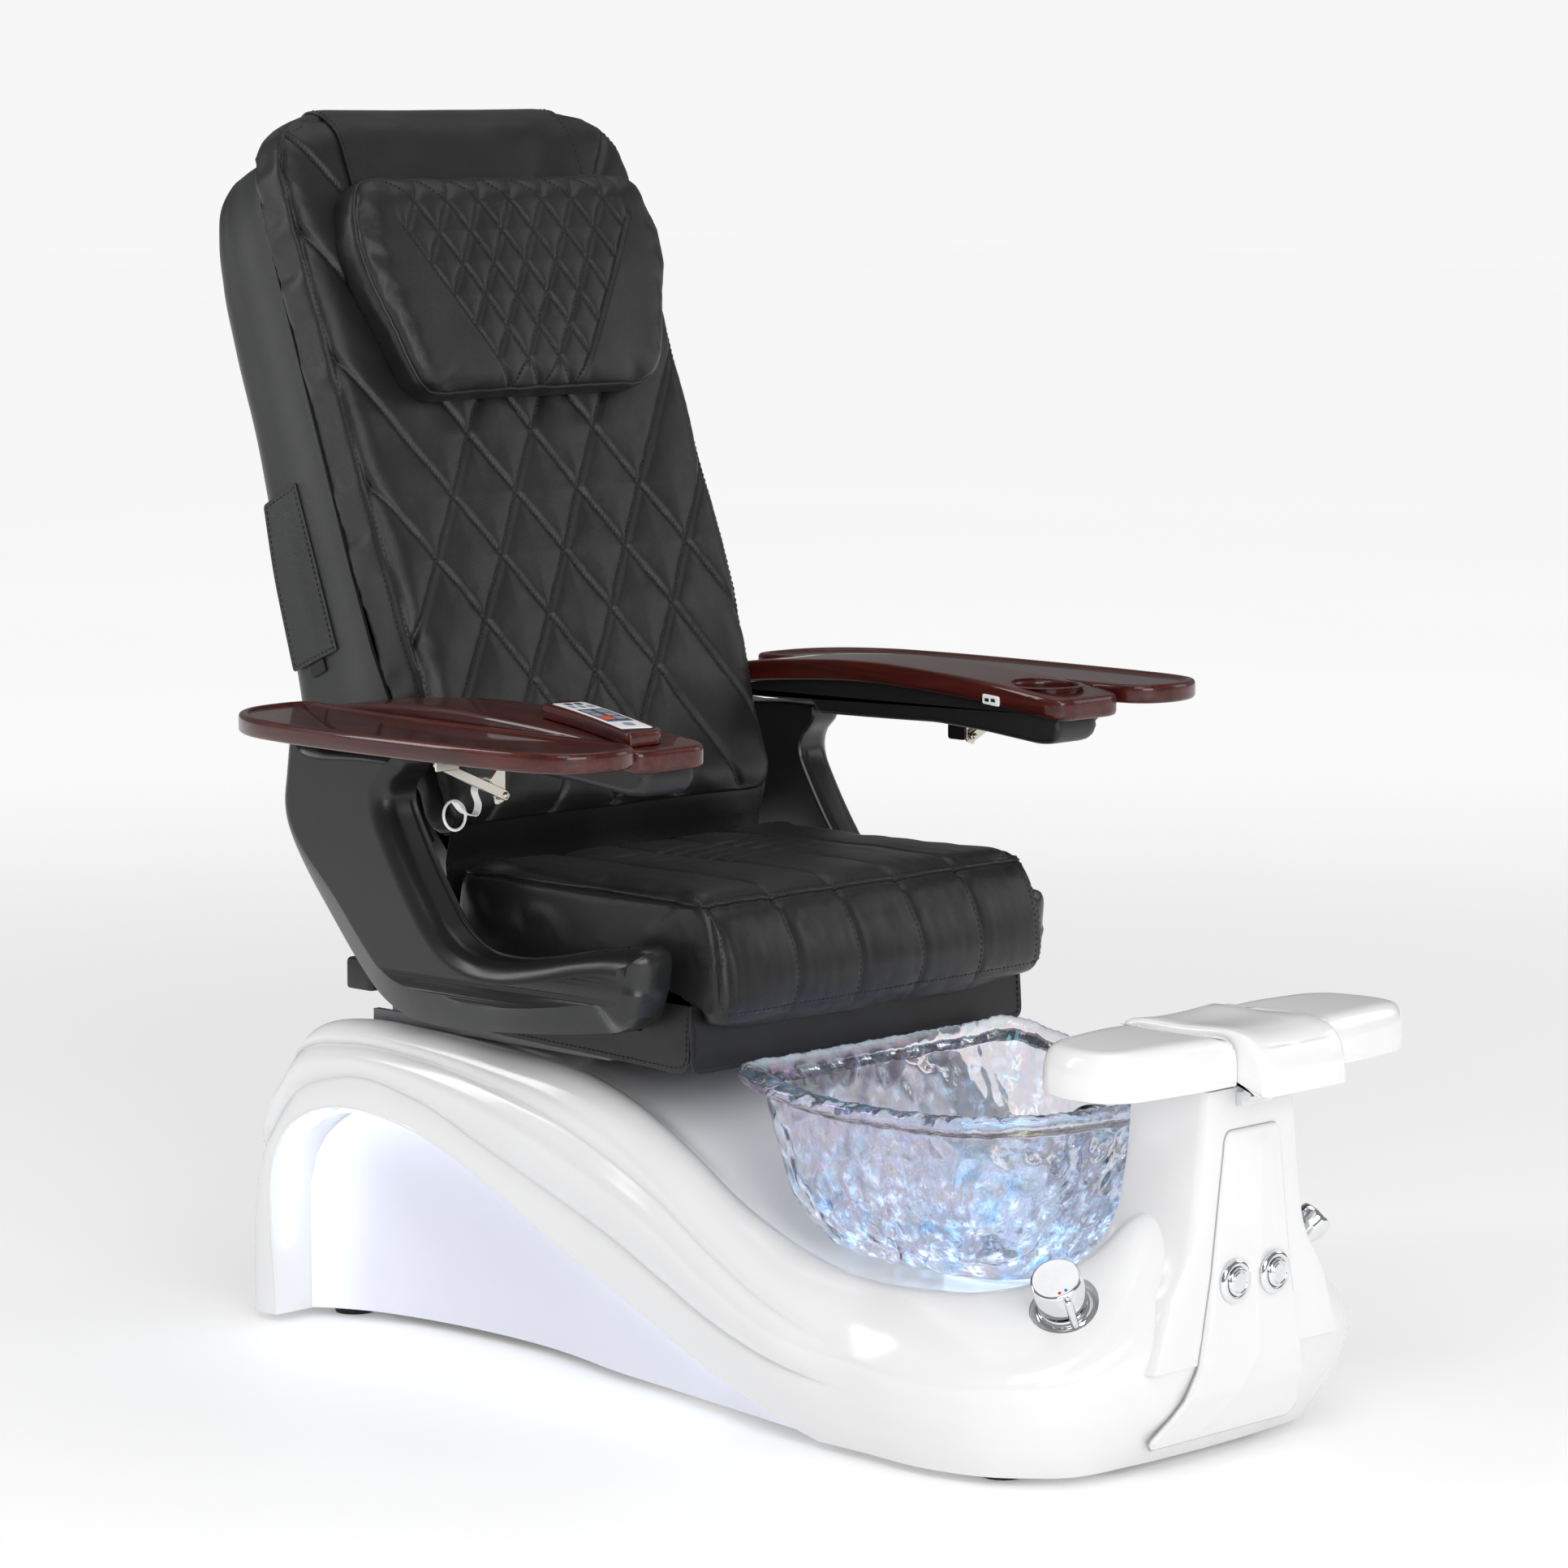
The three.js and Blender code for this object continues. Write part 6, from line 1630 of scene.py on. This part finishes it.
def make_pillow():
    """The head pillow, quilted inside a tapering field."""
    ts = [549, 552, 557, 565, 580, 610, 650, 690, 730, 765, 785, 796, 802, 806]
    loops = []
    for t in ts:
        half, front, rear = (np.interp(t, PILLOW[:, 0], PILLOW[:, k]) for k in (1, 2, 3))
        ring = back_loop(half - 2, front - 3, rear, 17)
        loops.append(from_back(ring[:, 0], np.full(len(ring), float(t)), ring[:, 1]))
    ob = tidy_mesh(loft("pillow_pad", loops))
    inflate(ob, 5.0, 6)
    p, nrm = coords(ob), normals(ob)
    x, t, n = to_back(p)
    n = np.clip(n, 106.0, 174)
    t = np.clip(t, 543, 812)
    facing = -nrm[:, 1] * math.cos(LEAN) + nrm[:, 2] * math.sin(LEAN)
    front = smooth_step(facing, 0.35, 0.85)
    room = 48 + (t - PILLOW_T) * PILLOW_SLOPE
    field = (1 - smooth_step(np.abs(x), room - 1, room + 2)) * (1 - smooth_step(np.abs(x), 168, 176))
    deep = quilt_depth(x, t, 4.6, PILLOW_SLOPE, PILLOW_PITCH, PILLOW_T, PILLOW_LINES) * field * front
    q = np.stack([x, t, n], axis=1)
    seam_n = pillow_seam(t)
    edge = 1 - front
    deep_edge = crease(np.abs(n - seam_n), 2.6, 2.4, 5.0) * smooth_step(edge, 0.3, 0.9)
    wrinkle = value_noise(q + 90, 13) * 0.7 * np.clip(deep / 3, 0, 1) + value_noise(q + 33, 45) * 1.2 * front
    wrinkle += value_noise(q * (0.5, 0.5, 0.15) + 60, 12) * edge
    x, t, n = to_back(from_back(x, t, n) - nrm * (deep + deep_edge + wrinkle)[:, None])
    set_coords(ob, from_back(x, t, np.maximum(n, 106.0)))
    finish_piece(ob, VINYL, "back", ["pillow"])
    skin = Skin(ob)
    ts = np.arange(556, 800, 2.5)
    runs = quilt_stitches(skin, ts, PILLOW_SLOPE, PILLOW_PITCH, PILLOW_T, PILLOW_LINES, 260.0,
                          np.minimum(49 + (ts - PILLOW_T) * PILLOW_SLOPE, 172))
    thread = stitch_mesh("pillow_stitching", runs, pitch=5.5, length=4.0, width=0.7)
    finish_piece(thread, THREAD, "back")

    # piped seam round the pillow's edge
    outline = round_corners([(-187, 553), (187, 553), (236, 712), (212, 804), (-212, 804), (-236, 712)],
                            [40, 40, 40, 36, 36, 40], 8)
    outline = resample(outline, 5)
    path, norm = [], []
    centre = np.array([0, 690.0])
    for u, v in outline:
        way = np.array([centre[0] - u, centre[1] - v]) / np.hypot(centre[0] - u, centre[1] - v)
        start = from_back(u - way[0] * 80, v - way[1] * 80, pillow_seam(np.clip(v, 556, 800)))
        hit = skin.drop(start, back_way(way[0], way[1], 0))
        if hit is not None:
            path.append(hit[0])
            norm.append(hit[1])
    path, norm = np.array(path), np.array(norm)
    welt = sweep("pillow_welt", spline(path + norm * 0.4, 260, closed=True), circle(2.1, 10), up=back_way(0, 0, 1),
                 closed=True)
    finish_piece(welt, VINYL, "back")


def make_flap(back_skin, shell_skin):
    """The strap that carries the pillow: from behind the pillow over the top of the backrest."""
    across = np.linspace(-178, 178, 60)
    angles = np.linspace(math.radians(-37), math.radians(212), 80)
    hub_t, hub_n, far = 838.0, 40.0, 200
    reach = np.full((len(angles), len(across)), np.nan)
    for i, a in enumerate(angles):
        dn, dt = math.cos(a), math.sin(a)
        aim = back_way(0, -dt, -dn)
        for j, x in enumerate(across):
            start = from_back(x, hub_t + dt * far, hub_n + dn * far)
            hits = [skin.drop(start, aim) for skin in (back_skin, shell_skin)]
            gaps = [np.linalg.norm(hit[0] - start) for hit in hits if hit is not None]
            if gaps:
                reach[i, j] = far - min(gaps)
    reach = np.where(np.isnan(reach), np.nanmin(reach), reach)
    for _ in range(10):
        padded = np.pad(reach, 1, mode="edge")
        soft = (padded[:-2, 1:-1] + padded[2:, 1:-1] + padded[1:-1, :-2] + padded[1:-1, 2:]) / 4
        reach = np.maximum(soft, reach)
    under, top = (np.array([from_back(across, hub_t + math.sin(a) * (row + lift), hub_n + math.cos(a) * (row + lift))
                            for a, row in zip(angles, reach)]) for lift in (0.7, 2.9))
    rows, cols = reach.shape
    faces = [tuple(reversed(f)) for f in plate_faces(rows, cols)]
    ob = new_object("pillow_flap", np.vstack([under.reshape(-1, 3), top.reshape(-1, 3)]), faces)
    tidy_mesh(ob, weld=0, angle=60)
    finish_piece(ob, VINYL, "back")
    runs = []
    for c in (1, cols - 2):
        path = top[:, c]
        out = np.cross((1.0, 0, 0), np.gradient(path, axis=0))
        out /= np.linalg.norm(out, axis=1)[:, None] + 1e-9
        hub = from_back(path[:, 0], hub_t, hub_n)
        runs.append((path, out * np.sign(((path - hub) * out).sum(axis=1))[:, None]))
    finish_piece(stitch_mesh("pillow_flap_stitching", runs), THREAD, "back")


def make_lower_flap():
    """The backrest cover's loose lower end, which hangs down behind the seat cushion."""
    outline = resample(round_corners([(-236, 8), (236, 8), (242, 128), (-242, 128)], [16, 16, 4, 4]), 7)

    def place(u, v, w):
        ripple = 2.4 * np.sin(u / 31.0 + 0.8) * smooth_step(v, 100, 20)
        n = np.interp(v, [0, 30, 60, 75, 90, 110, 130], [51, 58, 68, 78, 89, 99, 104]) - 3 * (u / 240) ** 2
        return from_back(u, v, n + w + ripple)
    ob = sheet_piece("back_lower_flap", outline, place, 2.6, wave=0.8, seed=6)
    finish_piece(ob, VINYL, "back")
    edge_stitches("back_lower_flap_stitching", outline, 6.0, place, "back", skip=lambda u, v: v > 112, height=2.9)


def make_pocket():
    """The magazine pocket sewn on the shell's side, and the tab under it."""
    outline = resample(round_corners([(-88, 314), (-12, 318), (-12, 508), (-70, 500)], [5, 2, 2, 5]), 5)

    def place(u, v, w):
        sag = 4.0 * np.exp(-((v - 420) / 80) ** 2) * smooth_step(u, -12, -45)
        return from_back(-(247.2 + w + sag), v, u)
    ob = sheet_piece("magazine_pocket_sheet", outline, place, 2.4, wave=0.5, seed=4)
    finish_piece(ob, SHELL_VINYL, "back", ["magazine_pocket"])
    edge_stitches("magazine_pocket_stitching", outline, 4.5, place, "back", height=2.6)
    tab = resample(round_corners([(-62, 300), (-38, 302), (-38, 316), (-62, 314)], 1.5), 3)

    def tab_place(u, v, w):
        return from_back(-(246.6 + w), v, u)
    ob = sheet_piece("pocket_hook_tab", tab, tab_place, 2.0, wave=0.2, seed=5)
    finish_piece(ob, DARK, "back")


# ------------------------------------------------------------------ armrests and trays
ARM_TOP = spline([(299, 708), (250, 720), (128, 732), (40, 735), (-57, 731), (-117, 727), (-176, 721), (-240, 713)],
                 80)
ARM_PLAN = [(268, 290), (268, -222), (274, -236), (286, -241), (352, -241), (368, -236), (373, -222), (373, -120),
            (371, -20), (365, 80), (355, 170), (340, 260), (334, 290), (326, 298), (278, 298)]
CUP_X, CUP_Y, CUP_R = 321, -172, 38
TRAY_INNER = [(381, -238), (376, -205), (375, -120), (374, -20), (368, 80), (358, 170), (344, 255), (341, 275)]
TRAY_OUTER = [(345, 290), (358, 296), (385, 297), (424, 290), (462, 265), (490, 218), (503, 150), (509, 50), (510, -60),
              (508, -150), (501, -215), (485, -248), (455, -265), (422, -268), (396, -258)]


def arm_lift(y):
    """Height of the armrests' upper face at each y."""
    order = np.argsort(ARM_TOP[:, 0])
    return np.interp(y, ARM_TOP[order, 0], ARM_TOP[order, 1])


def make_arms():
    """The lacquered armrest tops over their mouldings, the cup well, the trays, the remote and the port."""
    for side, tag in ((1, "left"), (-1, "right")):
        body = f"armrest_{tag}"
        outline = spline(resample(round_corners(ARM_PLAN, 12, 3), 14), 300, closed=True)
        rim = [(5.0, -24), (2.6, -23.4), (1.0, -22), (0.2, -20), (0, -18), (0, -6), (0.3, -3.4), (1.2, -1.5),
               (2.8, -0.4), (5.0, 0)]

        def place(loop, side=side):
            x, y, z = loop.T
            return np.stack([side * x, y, arm_lift(y) + z], axis=1)
        wood = slab(f"armrest_wood_{tag}", outline, rim, [(312, -190), (306, 255)], place, FINE_PARTS, FINE_PARTS)
        if side > 0:
            top = arm_lift(np.array([CUP_Y]))[0]
            hole = lathe("cup hole", [(0, -60), (CUP_R, -60), (CUP_R, 30), (0, 30)], (CUP_X, CUP_Y, top), (0, 0, 1), 96)
            boolean(wood, hole, "DIFFERENCE")
            tidy_mesh(wood, weld=1e-6, angle=40)
        finish_piece(wood, WOOD, body, [f"armrest_top_{tag}"])
        if side > 0:
            well = rounded([(0, 675), (33, 675), (36.2, 678), (36.2, top - 2), (36.8, top + 0.7), (38.6, top + 1.3),
                            (41.5, top + 1.0), (42.8, top), (42.4, top - 0.9), (37.7, top - 1.2), (37.7, 673.4),
                            (0, 673.4)], 0.8)
            finish_piece(lathe("cup_well", well, (CUP_X, CUP_Y, 0), (0, 0, 1), 96), WOOD, body)

        under = [(294, 681), (142, 681), (134, 669), (28, 671), (-45, 673), (-117, 669), (-200, 661), (-222, 664),
                 (-232, 688)]
        belly = [(y, z - 24.6) for y, z in ARM_TOP[::-1] if -231 < y < 293]
        edge = resample(np.vstack([round_corners(under, 10, 4)[4:-4], belly]), 7)
        rings = []
        for x, inset in ((279, 6), (279.6, 3.4), (281.4, 1.4), (284, 0.3), (288, 0), (330, 0), (338, 0.8), (344, 3),
                         (348, 6.4), (349.6, 10)):
            p = inset_loop(edge, np.where(edge[:, 1] < 690, inset, 0.0))
            rings.append(np.stack([np.full(len(p), side * x), p[:, 0], p[:, 1]], axis=1))
        n = len(edge)
        points = np.vstack(rings)
        faces = quads(len(rings), n, wrap=True)
        faces += [tuple(range(n - 1, -1, -1)), tuple((len(rings) - 1) * n + k for k in range(n))]
        trough = tidy_mesh(new_object(f"armrest_trough_{tag}", points, faces), weld=1e-6, angle=40)
        if side > 0:
            tool = lathe("cup recess", [(0, 673), (33, 673), (33, 760), (0, 760)], (CUP_X, CUP_Y, 0), (0, 0, 1), 64)
            boolean(trough, tool, "DIFFERENCE")
            tidy_mesh(trough, weld=1e-6, angle=40)
        lug = slab("lug", round_corners([(-28, 646), (-2, 646), (-2, 700), (-28, 700)], 4, 4),
                   [(0.6, 0), (0, 0.6), (0, 3.4), (0.6, 4)], [(-15, 652), (-15, 690)],
                   lambda loop, s=side: np.stack([s * (349 + loop[:, 2]), loop[:, 0], loop[:, 1]], axis=1))
        trough = merge(f"armrest_trough_{tag}", [trough, lug])
        weigh_normals(trough)
        tidy_mesh(trough, weld=0, angle=40)
        finish_piece(trough, TROUGH, body, [f"armrest_shell_{tag}"])
        make_tray(side, tag)
    make_remote()
    make_port()


def make_tray(side, tag):
    """One folding tray board with its strut, bracket and hinge leaf."""
    outline = spline(TRAY_INNER + TRAY_OUTER, 340, closed=True)
    rim = [(5.0, 701), (2.4, 701.6), (0.8, 703), (0, 705.4), (0, 716.4), (0.4, 719), (1.6, 721), (3.6, 722), (7.5, 722),
           (9.2, 721.5), (10.6, 720.2), (12.2, 719.2), (14.5, 719)]
    parts = (0.85, 0.65, 0.45, 0.25)
    ob = slab(f"tray_board_{tag}", outline, rim, [(434, -185), (402, 225)], lambda loop: loop * (side, 1, 1), parts,
              parts)
    finish_piece(ob, WOOD, f"tray_{tag}", [f"tray_{tag}"])

    strut = [(358, 644), (352, 650), (358, 656), (450, 695), (456, 694), (457, 688)]
    line = round_corners(strut, [3, 4, 3, 3, 3, 3], 4)
    plate = slab("plate", line, [(0.6, 0), (0, 0.5), (0, 3.0), (0.6, 3.6)], [(360, 651), (448, 690)],
                 lambda loop: np.stack([side * loop[:, 0], -30.2 - loop[:, 2], loop[:, 1]], axis=1))
    parts = [plate]
    for u, v in ((359.5, 650.5), (449, 690)):
        rivet = rounded([(0, -1.0), (3.6, -1.0), (3.6, 0.6), (2.6, 1.9), (0, 2.4)], 0.6)
        parts.append(lathe("rivet", rivet, (side * u, -34.0, v), (0, -1, 0), 24))
    whole = tidy_mesh(merge(f"tray_strut_plate_{tag}", parts), weld=0)
    finish_piece(whole, NICKEL, f"tray_strut_{tag}", [f"tray_strut_{tag}"])

    # bracket on the armrest with its pin, and the hinge leaf under the tray
    leaf = slab("leaf", round_corners([(353.4, 644), (366, 640), (374, 668), (353.4, 690)], 3, 3),
                [(0.5, 0), (0, 0.4), (0, 2.4), (0.5, 2.8)], [(360, 656), (360, 676)],
                lambda loop: np.stack([side * loop[:, 0], -24.6 - loop[:, 2], loop[:, 1]], axis=1))
    pin = rounded([(0, 0), (3, 0), (3, 8.4), (0, 8.4)], 0.6)
    pin = lathe("pin", pin, (side * 359.5, -21.6, 650.5), (0, -1, 0), 24)
    whole = tidy_mesh(merge(f"strut_bracket_{tag}", [leaf, pin]), weld=0)
    finish_piece(whole, NICKEL, f"armrest_{tag}")
    leaf = slab("leaf", round_corners([(430, 684), (462, 684), (462, 700.6), (430, 700.6)], 3, 3),
                [(0.5, 0), (0, 0.4), (0, 2.0), (0.5, 2.4)], [(440, 692), (452, 692)],
                lambda loop: np.stack([side * loop[:, 0], -38.4 - loop[:, 2], loop[:, 1]], axis=1))
    finish_piece(leaf, NICKEL, f"tray_{tag}")
    if side < 0:
        make_pull(side, tag)


def make_pull(side, tag):
    """A flat nylon pull with a ring, hanging from the strut's pin."""
    body = f"armrest_{tag}"
    x0 = 372
    path = spline([(x0 - 12, -14, 664), (x0 + 2, -12, 668), (x0 + 10, -11, 656), (x0 + 4, -10, 640), (x0 + 8, -9, 630),
                   (x0 + 24, -9, 634), (x0 + 36, -9, 646)], 60)
    path[:, 0] *= side
    section = [(-5, -0.45), (5, -0.45), (5, 0.45), (-5, 0.45)]
    thin, wide = frames_along(path, up=(0, 1, 0))
    rings = [[path[k] + wide[k] * a + thin[k] * b for a, b in section] for k in range(len(path))]
    strap = tidy_mesh(loft(f"tray_pull_strap_{tag}", rings), weld=1e-6, angle=50)
    finish_piece(strap, NYLON, body)
    a = np.linspace(0, 2 * math.pi, 64, endpoint=False)
    cx, cz = x0 + 36, 632
    ring = np.stack([side * (cx + 15 * np.cos(a)), np.full(64, -9.0) + 2 * np.sin(a), cz + 15 * np.sin(a)], axis=1)
    hoop = sweep(f"tray_pull_ring_{tag}", ring, circle(1.5, 12), up=(0, 1, 0), closed=True)
    finish_piece(hoop, NYLON, body)
    # the strap and the ring each get a mesh of their own
    for ob in (strap, hoop):
        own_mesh(ob)


def make_remote():
    plan = [(-366, -222), (-322, -222), (-312, -212), (-286, -66), (-292, -60), (-330, -60), (-338, -66)]
    outline = resample(round_corners(plan, 6, 5), 5)
    rim = [(2.0, 0.4), (0.5, 1.0), (0, 2.4), (0, 11.5), (0.5, 13.4), (1.6, 14.6), (3.2, 15)]

    def place(loop):
        x, y, z = loop.T
        return np.stack([x, y, arm_lift(y) + z], axis=1)
    ob = slab("remote_body", outline, rim, [(-338, -205), (-308, -78)], place)
    finish_piece(ob, WOOD, "armrest_right", ["remote_control"])
    a, b = np.array([-341.0, -210.0]), np.array([-310.0, -72.0])
    along = (b - a) / np.linalg.norm(b - a)
    across = np.array([along[1], -along[0]])

    def tile(name, u0, u1, v0, v1, low, high, look, radius=1.5):
        corners = [a + along * u + across * v for u, v in ((u0, v0), (u1, v0), (u1, v1), (u0, v1))]
        ring = resample(round_corners(corners, radius, 3), 4)
        middle = (corners[0] + corners[2]) / 2
        half = (u1 - u0) / 2 - abs(v1 - v0) / 2
        spine = [middle - along * max(half, 0.5), middle + along * max(half, 0.5)]
        piece = slab(name, ring, [(0.3, low), (0, low + 0.1), (0, high - 0.15), (0.4, high)], spine, place)
        finish_piece(piece, look, "armrest_right")
    tile("remote_label", 3, 138, -19, 19, 14.7, 15.6, SCREEN_WHITE, 3)
    tile("remote_screen", 34, 96, -15.5, 15.5, 15.4, 15.9, SCREEN_BLUE, 1.5)
    tile("remote_key_main", 12, 26, -6, 6, 15.4, 16.1, SCREEN_GREY, 5)
    tile("remote_key_warm", 44, 58, -13, 0, 15.8, 16.2, SCREEN_WARM, 1)
    for k, (u, v) in enumerate(((61, -13), (61, 3), (78, -13), (78, 3), (44, 3))):
        tile(f"remote_tile_{k}", u, u + 13, v, v + 10, 15.8, 16.1, SCREEN_GREY, 1)
    for k in range(3):
        tile(f"remote_key_{k}", 104, 116, -14 + k * 10.5, -7 + k * 10.5, 15.4, 16.0, SCREEN_GREY, 2.5)
    for k in range(2):
        tile(f"remote_key_end_{k}", 121, 132, -10 + k * 12, -2 + k * 12, 15.4, 16.0, SCREEN_BLUE, 2.5)


def make_port():
    """The small charging port in the inner face of the far armrest."""
    outline = resample(round_corners([(-152, 700), (-128, 702), (-128, 713), (-152, 711)], 2.5, 4), 2)
    rim = [(0, 0.0), (0, 1.2), (0.5, 1.9), (1.6, 2.0)]
    ob = slab("charging_port", outline, rim, [(-147, 706), (-133, 708)],
              lambda loop: np.stack([268.1 - loop[:, 2], loop[:, 0], loop[:, 1]], axis=1))
    finish_piece(ob, NYLON, "armrest_left")
    # the two slots are thin dark slabs on the port's face: painted shade for the openings
    for k, y in enumerate((-147, -138)):
        slot = resample(round_corners([(y, 704.5), (y + 6, 704.9), (y + 6, 708.5), (y, 708.1)], 0.5, 2), 1)
        ob = slab(f"charging_slot_{k}", slot, [(0, 0), (0, 0.3), (0.2, 0.45)], [(y + 1.5, 706.5), (y + 4.5, 706.7)],
                  lambda loop: np.stack([266.1 - loop[:, 2], loop[:, 0], loop[:, 1]], axis=1))
        finish_piece(ob, DARK, "armrest_left")


# ------------------------------------------------------------------ stage and camera
def make_stage():
    """The pale floor, the soft studio light and the bowl's own glow."""
    far = 30000
    floor = new_object("floor", [(-far, -far, 0), (far, -far, 0), (far, far, 0), (-far, far, 0)], [(0, 1, 2, 3)])
    mat, tree, bsdf = shader("studio floor", Base_Color=(0.92, 0.92, 0.92), Roughness=0.6)
    cloud = texture(tree, "ShaderNodeTexNoise", 0.6, Detail=2.0)
    pale = ramp(tree, cloud.outputs["Fac"], [(0.3, (0.9, 0.9, 0.9)), (0.7, (0.92, 0.92, 0.92))])
    tree.links.new(pale, bsdf.inputs["Base Color"])
    bsdf.inputs["Emission Color"].default_value = (1, 1, 1, 1)
    place = tree.nodes.new("ShaderNodeTexCoord")
    away = tree.nodes.new("ShaderNodeVectorMath")
    away.operation = "LENGTH"
    tree.links.new(place.outputs["Object"], away.inputs[0])
    spread = tree.nodes.new("ShaderNodeMapRange")
    spread.interpolation_type = "SMOOTHSTEP"
    for key, value in (("From Min", 1.2), ("From Max", 6.0), ("To Min", 0.16), ("To Max", 0.50)):
        spread.inputs[key].default_value = value
    tree.links.new(away.outputs["Value"], spread.inputs["Value"])
    tree.links.new(spread.outputs["Result"], bsdf.inputs["Emission Strength"])
    floor.data.materials.append(mat)
    world = bpy.data.worlds.new("studio")
    SCENE.world = world
    world.use_nodes = True
    back = world.node_tree.nodes["Background"]
    back.inputs["Color"].default_value = (1, 1, 1, 1)
    rays = world.node_tree.nodes.new("ShaderNodeLightPath")
    seen = world.node_tree.nodes.new("ShaderNodeMath")
    fill = world.node_tree.nodes.new("ShaderNodeMath")
    for node, source, gain in ((fill, "Is Diffuse Ray", 0.30), (seen, "Is Camera Ray", 0.71)):
        node.operation = "MULTIPLY_ADD"
        node.inputs[1].default_value = gain
        world.node_tree.links.new(rays.outputs[source], node.inputs[0])
    fill.inputs[2].default_value = 0.22
    world.node_tree.links.new(fill.outputs["Value"], seen.inputs[2])
    world.node_tree.links.new(seen.outputs["Value"], back.inputs["Strength"])

    def area(name, at, aim, width, height, power, colour=(1, 1, 1)):
        light = bpy.data.lights.new(name, "AREA")
        light.shape, light.size, light.size_y, light.energy, light.color = "RECTANGLE", width, height, power, colour
        ob = bpy.data.objects.new(name, light)
        SCENE.collection.objects.link(ob)
        ob.location = at
        ob.rotation_euler = (Vector(aim) - Vector(at)).to_track_quat("-Z", "Y").to_euler()
    area("key", (-2.6, -2.2, 3.2), (0, 0, 0.5), 1.8, 1.8, 36)
    area("overhead", (0.2, 0.2, 3.4), (0, 0, 0.4), 2.4, 2.4, 16)
    area("rear strip", (-2.4, 2.4, 2.2), (0, 0.2, 0.7), 0.5, 2.2, 26)
    area("far fill", (2.8, -1.6, 1.8), (0, 0, 0.6), 1.6, 1.6, 12)
    area("front fill", (-1.6, -3.6, 1.5), (0, -0.2, 0.4), 2.2, 1.4, 52)
    glow = bpy.data.lights.new("bowl glow", "POINT")
    glow.energy, glow.color, glow.shadow_soft_size = 0.02, (0.55, 0.75, 1.0), 0.05
    ob = bpy.data.objects.new("bowl glow", glow)
    SCENE.collection.objects.link(ob)
    ob.location = to_row([(0, BOWL_Y, 230)])[0]
    SCENE.view_settings.view_transform = "Standard"


def make_camera():
    """A long lens, a little above the seat, looking down the diagonal."""
    data = bpy.data.cameras.new("camera")
    data.lens, data.sensor_width = 128.57, 36
    ob = bpy.data.objects.new("camera", data)
    ob.location = (-4.264, -4.075, 1.385)
    ob.rotation_euler = (math.radians(90 - 7.23), 0, math.radians(-46.06))
    SCENE.collection.objects.link(ob)
    SCENE.camera = ob


make_base()
make_bowl()
make_taps()
make_footrest()
make_seat()
make_side_panels()
SHELL_SKIN = Skin(make_back_shell())
BACK_SKIN = make_back_cushion()
make_pillow()
make_flap(BACK_SKIN, SHELL_SKIN)
make_lower_flap()
make_pocket()
make_arms()
make_stage()
make_camera()
